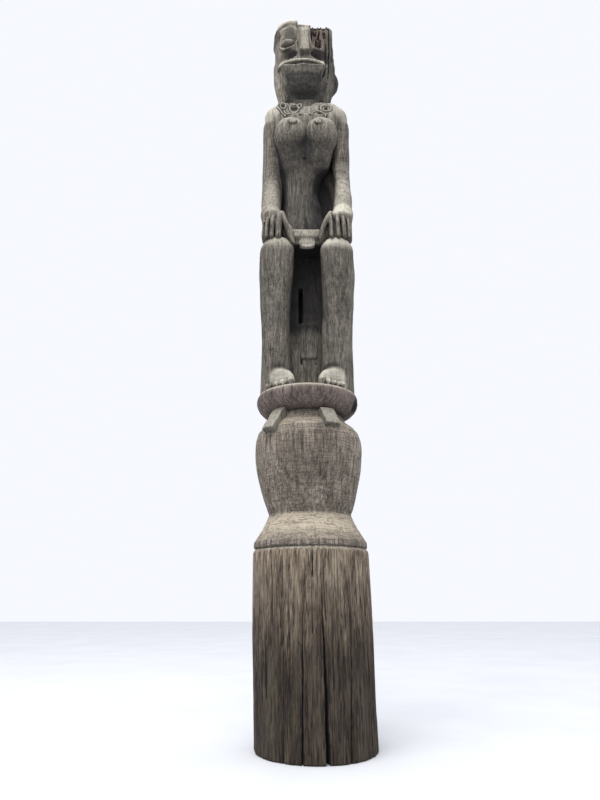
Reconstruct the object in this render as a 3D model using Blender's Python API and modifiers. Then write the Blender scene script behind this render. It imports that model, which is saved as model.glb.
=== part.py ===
"""A carved guardian pole: one weathered hardwood log, cut as a post, a jar on its foot, a dish and a seated figure.

Metres, +Z up, the figure faces -Y. The origin is on the underside, on the axis of the carving.
"""

import math
import random

import bmesh
import bpy
from mathutils import Euler, Matrix, Vector

# Driving sizes of the log and of what is turned from it.
LOG_RADIUS = 0.134
POST_HEIGHT = 0.415
POST_LEAN = 0.015
GROOVE_WIDTH = 0.006
GROOVE_DEPTH = 0.007
FOOT_HEIGHT = 0.075
FOOT_BAND = 0.018
FOOT_RADIUS = 0.132
FOOT_NECK_RADIUS = 0.097
JAR_HEIGHT = 0.240
JAR_RADIUS = 0.130
JAR_MOUTH_RADIUS = 0.084
DISH_HEIGHT = 0.055
DISH_RADIUS = 0.127
LUG_WIDTH = 0.037
LUG_LENGTH = 0.062
LUG_THICKNESS = 0.022
LUG_SLOPE = 55.0
LUG_PAIR_ANGLE = -8.0
LUG_SPREAD = 36.0

# The figure keeps its pose and proportions as shares: heights of its own height, widths and depths of its girth.
FIGURE_HEIGHT = 1.215
FIGURE_GIRTH = 0.133

TOE_INSET = 0.009

# How finely the figure's pieces are fused, the share of faces it keeps, and how far joined pieces overlap.
FUSING_STEP = 0.0034
KEPT_FACES = 0.021
SINK = 0.012
ROT_SEED = 7

WOOD_COLOUR = (0.27, 0.235, 0.195, 1.0)
WOOD_ROUGHNESS = 0.85

FOOT_BASE = POST_HEIGHT
JAR_BASE = FOOT_BASE + FOOT_HEIGHT
DISH_BASE = JAR_BASE + JAR_HEIGHT
FIGURE_BASE = DISH_BASE + DISH_HEIGHT
SIDES = (-1, 1)


def clear_scene():
    for old in list(bpy.data.objects):
        bpy.data.objects.remove(old, do_unlink=True)


def collection(name):
    made = bpy.data.collections.new(name)
    bpy.context.scene.collection.children.link(made)
    return made


def mesh_object(name, bm):
    """A mesh object of its own from bm, which is freed."""
    bmesh.ops.recalc_face_normals(bm, faces=bm.faces)
    mesh = bpy.data.meshes.new(name)
    bm.to_mesh(mesh)
    bm.free()
    made = bpy.data.objects.new(name, mesh)
    bpy.context.scene.collection.objects.link(made)
    return made


def evaluated_mesh(source):
    """The mesh that source shows with its modifiers, in world space. source is removed."""
    bpy.context.view_layer.update()
    shown = source.evaluated_get(bpy.context.evaluated_depsgraph_get())
    mesh = bpy.data.meshes.new_from_object(shown)
    mesh.transform(source.matrix_world)
    bpy.data.objects.remove(source, do_unlink=True)
    return mesh


def as_solid(name, source):
    """source made a plain welded mesh object."""
    bm = bmesh.new()
    bm.from_mesh(evaluated_mesh(source))
    bmesh.ops.remove_doubles(bm, verts=bm.verts, dist=0.00005)
    return mesh_object(name, bm)


def share(x, y, z):
    """A point of the figure from shares of its girth and its height."""
    return Vector((x * FIGURE_GIRTH, y * FIGURE_GIRTH, FIGURE_BASE + z * FIGURE_HEIGHT))


def girth(value):
    return value * FIGURE_GIRTH


def tall(value):
    return value * FIGURE_HEIGHT


def ball(name, centre, radii, turn=(0, 0, 0)):
    """An egg shape with three radii, turned by degrees."""
    bm = bmesh.new()
    bmesh.ops.create_uvsphere(bm, u_segments=28, v_segments=16, radius=1.0)
    matrix = Matrix.Translation(centre) @ Euler([math.radians(a) for a in turn]).to_matrix().to_4x4()
    bmesh.ops.transform(bm, matrix=matrix @ Matrix.Diagonal((*radii, 1.0)), verts=bm.verts)
    return mesh_object(name, bm)


def block(name, centre, size, turn=(0, 0, 0), round_edge=0.0, taper=1.0):
    """A box of that size, turned by degrees, its underside narrowed to taper times its width."""
    bm = bmesh.new()
    bmesh.ops.create_cube(bm, size=1.0)
    for vertex in bm.verts:
        if vertex.co.z < 0:
            vertex.co.x *= taper
    matrix = Matrix.Translation(centre) @ Euler([math.radians(a) for a in turn]).to_matrix().to_4x4()
    bmesh.ops.transform(bm, matrix=matrix @ Matrix.Diagonal((*size, 1.0)), verts=bm.verts)
    made = mesh_object(name, bm)
    if not round_edge:
        return made
    bevel = made.modifiers.new("round", "BEVEL")
    bevel.width = round_edge
    bevel.segments = 3
    return as_solid(name, made)


def turned(name, profile, steps=48):
    """A solid of revolution about Z from (radius, height) points, top to bottom."""
    bm = bmesh.new()
    line = [(0.0, profile[0][1]), *profile, (0.0, profile[-1][1])]
    points = [bm.verts.new((radius, 0.0, height)) for radius, height in line]
    for first, second in zip(points, points[1:]):
        bm.edges.new((first, second))
    mesh = bpy.data.meshes.new(name)
    bm.to_mesh(mesh)
    bm.free()
    made = bpy.data.objects.new(name, mesh)
    bpy.context.scene.collection.objects.link(made)
    screw = made.modifiers.new("turn", "SCREW")
    screw.steps = steps
    screw.render_steps = steps
    screw.use_merge_vertices = True
    screw.merge_threshold = 0.00005
    return as_solid(name, made)


def limb(name, points, radii, depth=1.0, round_ends=True):
    """A round tube through points with its own radius at each, depth times as deep as it is wide."""
    curve = bpy.data.curves.new(name, "CURVE")
    curve.dimensions = "3D"
    curve.bevel_depth = 1.0
    curve.bevel_resolution = 5
    curve.resolution_u = 6
    curve.render_resolution_u = 6
    curve.use_fill_caps = True
    spline = curve.splines.new("BEZIER")
    spline.bezier_points.add(len(points) - 1)
    middle = sum((point.y for point in points)) / len(points)
    for knot, point, radius in zip(spline.bezier_points, points, radii):
        knot.co = (point.x, middle + (point.y - middle) / depth, point.z)
        knot.radius = radius
        knot.handle_left_type = "AUTO"
        knot.handle_right_type = "AUTO"
    made = bpy.data.objects.new(name, curve)
    bpy.context.scene.collection.objects.link(made)
    tube = as_solid(name, made)
    squeeze = Matrix.Translation((0, middle, 0)) @ Matrix.Diagonal((1, depth, 1, 1)) @ Matrix.Translation((0, -middle, 0))
    tube.data.transform(squeeze)
    if not round_ends:
        return [tube]
    ends = [ball(name + "_end", points[i], (radii[i], radii[i] * depth, radii[i])) for i in (0, -1)]
    return [tube, *ends]


def cut(target, cutter):
    """target with the cutter's shape taken away. The cutter is removed."""
    boolean = target.modifiers.new("cut", "BOOLEAN")
    boolean.operation = "DIFFERENCE"
    boolean.object = cutter
    result = as_solid(target.name, target)
    bpy.data.objects.remove(cutter, do_unlink=True)
    return result


def united(name, pieces):
    """The pieces, which overlap, joined into one solid with their edges kept."""
    whole = pieces[0]
    for piece in pieces[1:]:
        boolean = whole.modifiers.new("join", "BOOLEAN")
        boolean.operation = "UNION"
        boolean.object = piece
        whole = as_solid(name, whole)
        bpy.data.objects.remove(piece, do_unlink=True)
    return whole


def crack_cutter(name, cracks):
    """One cutter for drying cracks, each a blade from a line on the surface in to a radius.

    A crack is its foot and head, each (angle in degrees, height), the radius it reaches, and half its width.
    """
    bm = bmesh.new()
    outer = LOG_RADIUS * 1.2
    for foot_end, head_end, inner, half_width in cracks:
        rows = []
        for (angle, height), opening in ((foot_end, half_width), (head_end, half_width * 0.3)):
            turn = Matrix.Rotation(math.radians(angle), 4, "Z")
            corners = ((-opening * 1.6, -outer), (opening * 1.6, -outer), (0.0, -inner))
            rows.append([bm.verts.new(turn @ Vector((x, y, height))) for x, y in corners])
        low, high = rows
        bm.faces.new(low)
        bm.faces.new(high[::-1])
        for i in range(3):
            j = (i + 1) % 3
            bm.faces.new((low[j], low[i], high[i], high[j]))
    return mesh_object(name, bm)


def post():
    """The plain shaft with its long drying cracks, and the groove round its top."""
    top = POST_HEIGHT - GROOVE_WIDTH
    neck = LOG_RADIUS - GROOVE_DEPTH
    body = turned(
        "post",
        [
            (neck, POST_HEIGHT + SINK),
            (neck, top),
            (LOG_RADIUS - 0.003, top - 0.002),
            (LOG_RADIUS, top - 0.012),
            (LOG_RADIUS * 1.004, POST_HEIGHT * 0.55),
            (LOG_RADIUS * 0.99, POST_HEIGHT * 0.2),
            (LOG_RADIUS * 0.985, 0.0),
        ],
    )
    below = -SINK
    cracks = (
        ((9.2, below), (8.8, POST_HEIGHT * 0.68), 0.045, 0.0050),
        ((-12.8, below), (-8.0, POST_HEIGHT * 0.72), 0.090, 0.0020),
        ((33.5, below), (40.0, POST_HEIGHT * 0.76), 0.095, 0.0022),
        ((-45.0, below), (-44.0, POST_HEIGHT * 0.66), 0.105, 0.0030),
        ((3.0, top - 0.004), (3.5, POST_HEIGHT * 0.80), 0.115, 0.0016),
        ((96.0, below), (92.0, POST_HEIGHT * 0.60), 0.090, 0.0028),
        ((150.0, below), (146.0, POST_HEIGHT * 0.90), 0.070, 0.0040),
        ((205.0, below), (207.0, POST_HEIGHT * 0.55), 0.095, 0.0028),
        ((262.0, below), (266.0, POST_HEIGHT * 0.70), 0.095, 0.0028),
    )
    return cut(body, crack_cutter("cracks", cracks))


def foot():
    """The flared foot that the jar stands on, with a plain band round its lower edge."""
    flare = FOOT_RADIUS - FOOT_NECK_RADIUS
    profile = [
        (FOOT_NECK_RADIUS, JAR_BASE + SINK),
        (FOOT_NECK_RADIUS, JAR_BASE),
        (FOOT_NECK_RADIUS + flare * 0.16, JAR_BASE - FOOT_HEIGHT * 0.20),
        (FOOT_NECK_RADIUS + flare * 0.48, JAR_BASE - FOOT_HEIGHT * 0.50),
        (FOOT_RADIUS - 0.004, FOOT_BASE + FOOT_BAND),
        (FOOT_RADIUS, FOOT_BASE + FOOT_BAND * 0.6),
        (FOOT_RADIUS - 0.001, FOOT_BASE),
    ]
    return turned("foot", profile)


def jar():
    """The belly of the jar, from a ridge round its shoulder down to a narrow foot."""
    narrow, belly = FOOT_NECK_RADIUS, JAR_RADIUS - FOOT_NECK_RADIUS
    side = (
        (0.80, 0.93),
        (0.72, 1.00),
        (0.62, 1.00),
        (0.54, 0.95),
        (0.45, 0.87),
        (0.36, 0.76),
        (0.26, 0.58),
        (0.16, 0.38),
        (0.07, 0.17),
        (0.0, 0.02),
    )
    mouth, shoulder = JAR_MOUTH_RADIUS, JAR_RADIUS - JAR_MOUTH_RADIUS
    profile = [(mouth, DISH_BASE + SINK), (mouth, DISH_BASE)]
    profile += [(mouth + shoulder * out, DISH_BASE - JAR_HEIGHT * down) for down, out in ((0.03, 0.42), (0.11, 0.74))]
    profile += [(narrow + belly * out, JAR_BASE + JAR_HEIGHT * up) for up, out in side]
    profile.append((narrow - 0.004, JAR_BASE - SINK))
    return turned("jar", profile)


def dish():
    """The shallow dish that the figure stands on, its side full and round and rotted through at the right."""
    wide, mouth = DISH_RADIUS, JAR_MOUTH_RADIUS
    side = ((0.0, 0.84), (0.04, 0.90), (0.14, 0.97), (0.30, 1.0), (0.50, 0.95), (0.70, 0.78), (0.88, 0.50), (1.0, 0.06))
    profile = [(mouth + (wide - mouth) * out, FIGURE_BASE - DISH_HEIGHT * down) for down, out in side]
    profile.append((mouth, DISH_BASE - SINK / 2))
    bite = (0.010, 0.014, DISH_HEIGHT * 0.30)
    place = Vector((wide * 0.955, -wide * 0.20, DISH_BASE + DISH_HEIGHT * 0.44))
    return cut(turned("dish", profile), ball("rim_bite", place, bite, (0, 30, 10)))


def lugs():
    """Two pairs of strap lugs, before and behind, from under the dish down to the jar's shoulder."""
    reach = JAR_MOUTH_RADIUS + (JAR_RADIUS - JAR_MOUTH_RADIUS) * 0.60
    height = DISH_BASE - JAR_HEIGHT * 0.113
    made = []
    for pair in (LUG_PAIR_ANGLE, LUG_PAIR_ANGLE + 180):
        for angle in (pair - LUG_SPREAD, pair + LUG_SPREAD):
            centre = Matrix.Rotation(math.radians(angle), 4, "Z") @ Vector((0, -reach, height))
            size = (LUG_WIDTH, LUG_LENGTH, LUG_THICKNESS)
            made.append(block("lug", centre, size, (LUG_SLOPE, 0, angle), 0.002))
    return made


def back_slab():
    """What is left of the log behind the legs, with the cleft and the loincloth's end between the shins."""
    bottom, top = FIGURE_BASE - SINK / 2, share(0, 0, 0.375).z
    slab = turned("slab", [(girth(0.90), top), (girth(0.90), bottom)], 64)
    slab = cut(slab, block("front", share(0, -1.0, 0.19), (girth(3), girth(1.86), tall(0.5)), (-2.5, 0, 0)))
    slab = cut(slab, block("cleft", share(-0.14, -0.02, 0.235), (girth(0.085), girth(0.7), tall(0.11))))
    flap = block("flap", share(0.075, -0.06, 0.195), (girth(0.32), girth(0.24), tall(0.23)), (-2.5, 0, 0), 0.006)
    band = block("flap_band", share(0.075, -0.09, 0.135), (girth(0.37), girth(0.24), tall(0.014)), (-2.5, 0, 0), 0.003)
    return [slab, flap, band]


def legs():
    """Thick shins straight down from the knees, and thighs that run back to the hips."""
    made = []
    for side in SIDES:
        shin = [share(side * 0.585, -0.55, 0.312), share(side * 0.585, -0.44, 0.18), share(side * 0.555, -0.22, 0.015)]
        made += limb("shin", shin, (girth(0.305), girth(0.305), girth(0.272)), 1.12)
        thigh = [share(side * 0.585, -0.52, 0.312), share(side * 0.50, -0.10, 0.385), share(side * 0.36, 0.22, 0.43)]
        made += limb("thigh", thigh, (girth(0.30), girth(0.34), girth(0.38)))
        made.append(block("calf", share(side * 0.61, -0.10, 0.18), (girth(0.42), girth(0.5), tall(0.36))))
    return made


def feet():
    """Rounded insteps with five toes each that reach the dish's rim, the great toe inside."""
    made = []
    for side in SIDES:
        made.append(ball("instep", share(side * 0.52, -0.40, 0.0), (girth(0.28), girth(0.36), tall(0.039))))
        for toe in range(5):
            across = girth(0.29 + 0.115 * toe)
            tip = math.sqrt((DISH_RADIUS - TOE_INSET) ** 2 - across ** 2)
            size = (girth(0.052 - 0.003 * toe), girth(0.20), tall(0.019 - 0.0012 * toe))
            place = Vector((side * across, size[1] - tip, FIGURE_BASE + tall(0.003)))
            made.append(ball("toe", place, size))
    return made


def lap():
    """The loincloth's front between the knees, rounded below, and the panel that hangs from it."""
    bar = block("lap", share(-0.01, -0.44, 0.341), (girth(0.56), girth(0.60), tall(0.030)), (-16, 0, 0), 0.006, 0.82)
    size = (girth(0.42), girth(0.50), tall(0.034))
    panel = block("lap_panel", share(-0.01, -0.46, 0.327), size, (-16, 0, 0), 0.014, 0.74)
    return [bar, panel]


def back():
    """The rounded back, hollowed in front so that it stands behind the arms as a web of wood."""
    line = ((0.36, 0.77), (0.55, 0.78), (0.69, 0.76), (0.745, 0.62))
    axis = [share(0, 0.13, z) for z, _ in line]
    [round_back] = limb("back", axis, [girth(g) for _, g in line], 0.58, round_ends=False)
    return cut(round_back, block("recess", share(0, -0.5, 0.53), (girth(3), girth(1.26), tall(0.44))))


def torso():
    """The trunk, the square upper chest and the breasts."""
    spine = [share(0, 0.20, z) for z in (0.37, 0.44, 0.52)] + [share(0, 0.10, 0.62), share(0, 0.08, 0.70)]
    made = limb("torso", spine, [girth(g) for g in (0.56, 0.54, 0.44, 0.56, 0.62)], 0.80)
    made.append(block("chest", share(0, 0.02, 0.716), (girth(1.40), girth(0.74), tall(0.080)), (-4, 0, 0), 0.014))
    yoke = [share(-0.645, 0.06, 0.733), share(0, 0.08, 0.736), share(0.645, 0.06, 0.733)]
    made += limb("shoulders", yoke, [girth(g) for g in (0.28, 0.30, 0.28)], 1.2)
    for side in SIDES:
        breast = share(side * 0.335 - 0.02, -0.26, 0.655)
        made.append(ball("breast", breast, (girth(0.33), girth(0.35), tall(0.042)), (-20, 0, 0)))
        root = share(side * 0.30 - 0.02, -0.14, 0.640)
        made.append(ball("breast_root", root, (girth(0.28), girth(0.22), tall(0.046))))
        nipple = share(side * 0.26 - 0.04, -0.585, 0.664)
        made.append(ball("nipple", nipple, (girth(0.06), girth(0.06), girth(0.06))))
    return made


def arms():
    """Plain round arms straight down the sides, the forearms coming forward to the knees."""
    made = []
    for side in SIDES:
        line = ((0.68, 0.06, 0.718), (0.715, 0.10, 0.62), (0.725, 0.06, 0.53), (0.72, -0.20, 0.45), (0.71, -0.42, 0.40))
        arm = [share(side * x, y, z) for x, y, z in line]
        made += limb("arm", arm, [girth(g) for g in (0.245, 0.215, 0.195, 0.19, 0.185)], 1.15)
    return made


def hands():
    """Each palm lies on the thigh, four fingers down over the knee and the thumb along its inner side."""
    made = []
    for side in SIDES:
        palm = [share(side * 0.71, -0.42, 0.412), share(side * 0.69, -0.55, 0.385)]
        made += limb("palm", palm, (girth(0.18), girth(0.20)), 0.8)
        for finger in range(4):
            across = 0.500 + 0.126 * finger
            outward = 0.034 * finger
            knuckle = share(side * across, -0.62 + outward, 0.396)
            tip = share(side * across, -0.83 + outward * 1.6, 0.348 - 0.003 * finger)
            made += limb("finger", [knuckle, tip], (girth(0.042), girth(0.046)), 1.6)
        thumb = [share(side * 0.56, -0.55, 0.402), share(side * 0.42, -0.70, 0.372), share(side * 0.32, -0.77, 0.345)]
        made += limb("thumb", thumb, (girth(0.055), girth(0.045), girth(0.035)), 1.3)
    return made


def skull():
    """The head before its face is cut: a rounded column that narrows back to the neck, under a low crown."""
    line = ((0.14, 0.750), (0.08, 0.795), (0.01, 0.84), (0.0, 0.90), (0.0, 0.954))
    axis = [share(0, y, z) for y, z in line]
    column = limb("skull", axis, [girth(g) for g in (0.53, 0.60, 0.655, 0.665, 0.655)], 1.0, round_ends=False)
    dome = ((0.28, 1.0), (0.50, 0.992), (0.615, 0.977), (0.650, 0.955), (0.650, 0.940))
    crown = turned("crown", [(girth(out), share(0, 0, z).z) for out, z in dome])
    return united("skull", [*column, crown])


def hollowed(solid):
    """The skull with the sockets and the hollows under the cheekbones cut out."""
    for side in SIDES:
        socket = ball("socket", share(side * 0.34, -0.62, 0.910), (girth(0.25), girth(0.24), tall(0.040)))
        solid = cut(solid, socket)
        cheek = ball("cheek", share(side * 0.36, -0.72, 0.858), (girth(0.30), girth(0.18), tall(0.024)))
        solid = cut(solid, cheek)
    return solid


def rotted(solid):
    """The figure's left eye rotted out, the crown lost above it and the long split beside it."""
    rot = random.Random(ROT_SEED)
    for _ in range(7):
        place = share(0.36 + rot.uniform(-0.1, 0.12), -0.62 + rot.uniform(-0.08, 0.08), 0.930 + rot.uniform(-0.02, 0.05))
        size = (girth(rot.uniform(0.07, 0.12)), girth(0.18), tall(rot.uniform(0.02, 0.032)))
        solid = cut(solid, ball("rot", place, size, (rot.uniform(-20, 20), rot.uniform(-15, 15), 0)))
    lost = block("lost_crown", share(0.74, -0.30, 1.000), (girth(1.6), girth(1.6), tall(0.050)), (0, 4, 0))
    solid = cut(solid, lost)
    return cut(solid, block("split", share(0.55, -0.56, 0.83), (girth(0.05), girth(0.40), tall(0.17)), (0, 5, 0)))


def face():
    """The schematic mask: almond eye, wedge nose, a broad lip ledge and a heavy chin."""
    made = []
    made.append(ball("eye", share(-0.34, -0.44, 0.905), (girth(0.165), girth(0.085), tall(0.014)), (0, -6, 0)))
    made.append(ball("lower_lid", share(0.33, -0.50, 0.880), (girth(0.16), girth(0.10), tall(0.006))))
    bridge = [share(0.0, -0.60, 0.945), share(0.0, -0.64, 0.905), share(0.0, -0.69, 0.870)]
    made += limb("nose", bridge, (girth(0.07), girth(0.075), girth(0.10)), 1.2)
    made.append(ball("nostrils", share(0.0, -0.66, 0.866), (girth(0.155), girth(0.09), tall(0.009))))
    line = ((-0.50, -0.42, 0.845), (-0.27, -0.60, 0.843), (0, -0.66, 0.840), (0.27, -0.60, 0.843), (0.50, -0.42, 0.845))
    ledge = [share(x, y, z) for x, y, z in line]
    made += limb("upper_lip", ledge, [girth(g) for g in (0.05, 0.05, 0.055, 0.05, 0.05)], 1.2)
    made.append(ball("lower_lip", share(0, -0.47, 0.824), (girth(0.42), girth(0.17), tall(0.011))))
    made.append(ball("chin", share(0, -0.32, 0.803), (girth(0.46), girth(0.27), tall(0.036)), (10, 0, 0)))
    return made


def head():
    """The head, the crest over its sound eye, its side hair and the bulges at its ears."""
    made = [rotted(hollowed(skull())), *face()]
    arch = [share(x, y, z) for x, y, z in ((-0.66, -0.12, 0.925), (-0.50, -0.46, 0.956), (-0.12, -0.66, 0.966))]
    made += limb("crest", arch, [girth(g) for g in (0.05, 0.06, 0.05)])
    for side, swell in ((-1, 0.8), (1, 1.1)):
        made.append(ball("ear", share(side * 0.63, 0.06, 0.835), (girth(0.12 * swell), girth(0.20), tall(0.034))))
        line = ((0.57, -0.18, 0.93, 0.09), (0.58, -0.14, 0.86, 0.11), (0.54, -0.08, 0.80, 0.13), (0.44, 0.02, 0.735, 0.13))
        strand = [share(side * x, y, z) for x, y, z, _ in line]
        made += limb("hair", strand, [girth(thick) for *_, thick in line])
    return made


def neck():
    column = [share(0, 0.12, 0.72), share(0, 0.12, 0.79)]
    return limb("neck", column, (girth(0.54), girth(0.52)), 1.0)


def necklace():
    """Two curled ornaments in relief below the neck."""
    made = []
    for side in SIDES:
        curl = [share(side * 0.56, -0.30, 0.726), share(side * 0.42, -0.37, 0.708), share(side * 0.22, -0.39, 0.712)]
        made += limb("curl", curl, [girth(g) for g in (0.045, 0.05, 0.04)])
        made.append(ball("curl_eye", share(side * 0.42, -0.35, 0.728), (girth(0.10), girth(0.06), tall(0.008))))
    return made


def fused(name, pieces):
    """The pieces, which overlap, made one skin and thinned to few faces."""
    bm = bmesh.new()
    for piece in pieces:
        bm.from_mesh(piece.data)
        bpy.data.objects.remove(piece, do_unlink=True)
    whole = mesh_object(name, bm)
    remesh = whole.modifiers.new("fuse", "REMESH")
    remesh.mode = "VOXEL"
    remesh.voxel_size = FUSING_STEP
    relax = whole.modifiers.new("relax", "SMOOTH")
    relax.factor = 0.5
    relax.iterations = 2
    thin = whole.modifiers.new("thin", "DECIMATE")
    thin.ratio = KEPT_FACES
    return as_solid(name, whole)


def weathered_wood():
    material = bpy.data.materials.new("weathered_wood")
    material.use_nodes = True
    shader = material.node_tree.nodes["Principled BSDF"]
    shader.inputs["Base Color"].default_value = WOOD_COLOUR
    shader.inputs["Roughness"].default_value = WOOD_ROUGHNESS
    shader.inputs["Metallic"].default_value = 0.0
    return material


def leaned(solid):
    """solid with the log leaning below the dish, as far as POST_LEAN at the ground."""
    for vertex in solid.data.vertices:
        below = max(0.0, 1 - vertex.co.z / DISH_BASE)
        vertex.co.x += POST_LEAN * below
    return solid


def figure():
    """The seated figure with what is left of the log behind it, cut off just under the dish's top."""
    pieces = [*back_slab(), *legs(), *feet(), *lap(), back(), *torso(), *arms(), *hands(), *neck(), *head(), *necklace()]
    under = block("under", Vector((0, 0, FIGURE_BASE / 2)), (girth(3), girth(3), FIGURE_BASE - SINK / 2))
    return cut(fused("figure", pieces), under)


def main():
    clear_scene()
    home = collection("guardian_pole_statue")
    pole = leaned(united("guardian_pole", [post(), foot(), jar(), dish(), *lugs(), figure()]))
    pole.name = "guardian_pole"
    pole.data.materials.append(weathered_wood())
    bpy.context.scene.collection.objects.unlink(pole)
    home.objects.link(pole)


main()
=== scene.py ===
"""A weathered guardian pole carved from one hardwood log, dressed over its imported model.

Metres, +Z up, the figure faces -Y, the origin on the underside below the axis of the carving.
"""

import logging
import math
from collections.abc import Sequence
from dataclasses import dataclass, field
from enum import Enum

import bmesh
import bpy
import numpy as np
from mathutils import Euler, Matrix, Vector


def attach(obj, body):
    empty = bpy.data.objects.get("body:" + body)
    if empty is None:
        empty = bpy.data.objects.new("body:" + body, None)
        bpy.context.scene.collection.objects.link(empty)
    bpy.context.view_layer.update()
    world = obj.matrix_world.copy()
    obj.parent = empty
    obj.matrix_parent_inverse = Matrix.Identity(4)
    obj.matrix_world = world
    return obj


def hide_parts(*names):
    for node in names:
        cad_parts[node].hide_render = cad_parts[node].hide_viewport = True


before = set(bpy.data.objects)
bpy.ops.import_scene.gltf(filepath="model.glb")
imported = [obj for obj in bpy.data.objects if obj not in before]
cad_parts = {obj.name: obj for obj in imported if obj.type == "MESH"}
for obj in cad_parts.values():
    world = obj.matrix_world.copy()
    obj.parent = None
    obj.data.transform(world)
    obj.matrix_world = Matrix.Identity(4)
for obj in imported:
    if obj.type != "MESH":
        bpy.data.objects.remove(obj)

Array = np.ndarray
Point = tuple[float, float, float]
Colour = tuple[float, float, float, float]

LOG = logging.getLogger("guardian_pole")
NODE = "guardian_pole"
BODY = "root"
COARSE = 1.0
FAR = 1.0  # a distance past everything on the pole


class Side(Enum):
    """A side of the figure as the viewer sees it from the front."""

    LEFT = -1
    RIGHT = 1


class Wear(Enum):
    """What a marked place is, by the name of the attribute that the finish reads."""

    # Real wear, and painted light on lit tops and sides
    WORN_AND_LIT = "worn"
    ROTTEN = "rot"
    # Dirt, and painted shade in hollows, creases and under overhangs
    DIRT_AND_SHADE = "hollow"
    CROSSED = "crossed"


@dataclass(frozen=True)
class Layout:
    """Heights and radii of the log that the sub-assemblies share."""

    log_radius: float = 0.134
    post_height: float = 0.415
    lean: float = 0.015
    foot_height: float = 0.075
    foot_radius: float = 0.132
    foot_neck: float = 0.097
    jar_height: float = 0.240
    jar_radius: float = 0.130
    mouth_radius: float = 0.084
    dish_height: float = 0.055
    dish_radius: float = 0.127
    figure_height: float = 1.215
    girth: float = 0.133

    @property
    def jar_base(self) -> float:
        """Height of the jar's narrow foot."""
        return self.post_height + self.foot_height

    @property
    def dish_base(self) -> float:
        """Height of the dish's underside."""
        return self.jar_base + self.jar_height

    @property
    def figure_base(self) -> float:
        """Height of the dish's top, on which the figure stands."""
        return self.dish_base + self.dish_height

    def share(self, x: float, y: float, z: float) -> Array:
        """A point of the figure.

        Args:
            x: Across, in girths.
            y: Back, in girths.
            z: Up from the dish, as a share of the figure's height.

        Returns:
            The point in metres.
        """
        return np.array((x * self.girth, y * self.girth, self.figure_base + z * self.figure_height))

    def wide(self, value: float) -> float:
        """A width or depth of that many girths, in metres."""
        return value * self.girth

    def tall(self, value: float) -> float:
        """A height of that share of the figure, in metres."""
        return value * self.figure_height

    def leaned(self, points: Array) -> Array:
        """The points with the log's lean below the dish put in."""
        moved = points.copy()
        moved[:, 0] += self.lean * np.clip(1 - points[:, 2] / self.dish_base, 0, None)
        return moved


POLE = Layout()


def turned_axes(turn: Point) -> Array:
    """The rotation of an XYZ turn in degrees as a 3 by 3 array."""
    return np.array(Euler([math.radians(angle) for angle in turn]).to_matrix())


@dataclass(frozen=True)
class Ball:
    """An egg-shaped form.

    Attributes:
        centre: Its middle.
        radii: Its three radii before it is turned.
        turn: Its turn in degrees about X, Y and Z.
    """

    centre: Array
    radii: Point
    turn: Point = (0.0, 0.0, 0.0)

    def box(self) -> tuple[Array, Array]:
        """Lowest and highest corner of the form."""
        axes = turned_axes(self.turn)
        reach = np.sqrt(((axes * np.array(self.radii)) ** 2).sum(1))
        return np.array(self.centre) - reach, np.array(self.centre) + reach

    def distance(self, x: Array, y: Array, z: Array) -> Array:
        """Distance of points from its surface, negative inside."""
        local = local_coordinates(x, y, z, self.centre, self.turn)
        near = sum((part / radius) ** 2 for part, radius in zip(local, self.radii)) ** 0.5
        slope = sum((part / radius**2) ** 2 for part, radius in zip(local, self.radii)) ** 0.5
        return near * (near - 1) / np.maximum(slope, 1e-6)


@dataclass(frozen=True)
class Block:
    """A box with rounded edges.

    Attributes:
        centre: Its middle.
        size: Its three sides.
        turn: Its turn in degrees.
        edge: The radius of its edges.
        taper: The width of its underside as a share of its top's.
    """

    centre: Array
    size: Point
    turn: Point = (0.0, 0.0, 0.0)
    edge: float = 0.0
    taper: float = 1.0

    def box(self) -> tuple[Array, Array]:
        """Lowest and highest corner of the form."""
        axes = turned_axes(self.turn)
        reach = (np.abs(axes) * np.array(self.size) * 0.5).sum(1) * max(1.0, self.taper)
        return np.array(self.centre) - reach, np.array(self.centre) + reach

    def distance(self, x: Array, y: Array, z: Array) -> Array:
        """Distance of points from its surface, negative inside."""
        u, v, w = local_coordinates(x, y, z, self.centre, self.turn)
        narrow = 1 + (self.taper - 1) * np.clip(0.5 - w / self.size[2], 0, 1)
        half = [side * 0.5 - self.edge for side in self.size]
        a = np.abs(u) - half[0] * narrow
        b = np.abs(v) - half[1]
        c = np.abs(w) - half[2]
        outside = np.sqrt(np.maximum(a, 0) ** 2 + np.maximum(b, 0) ** 2 + np.maximum(c, 0) ** 2)
        return outside + np.minimum(np.maximum(a, np.maximum(b, c)), 0) - self.edge


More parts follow.
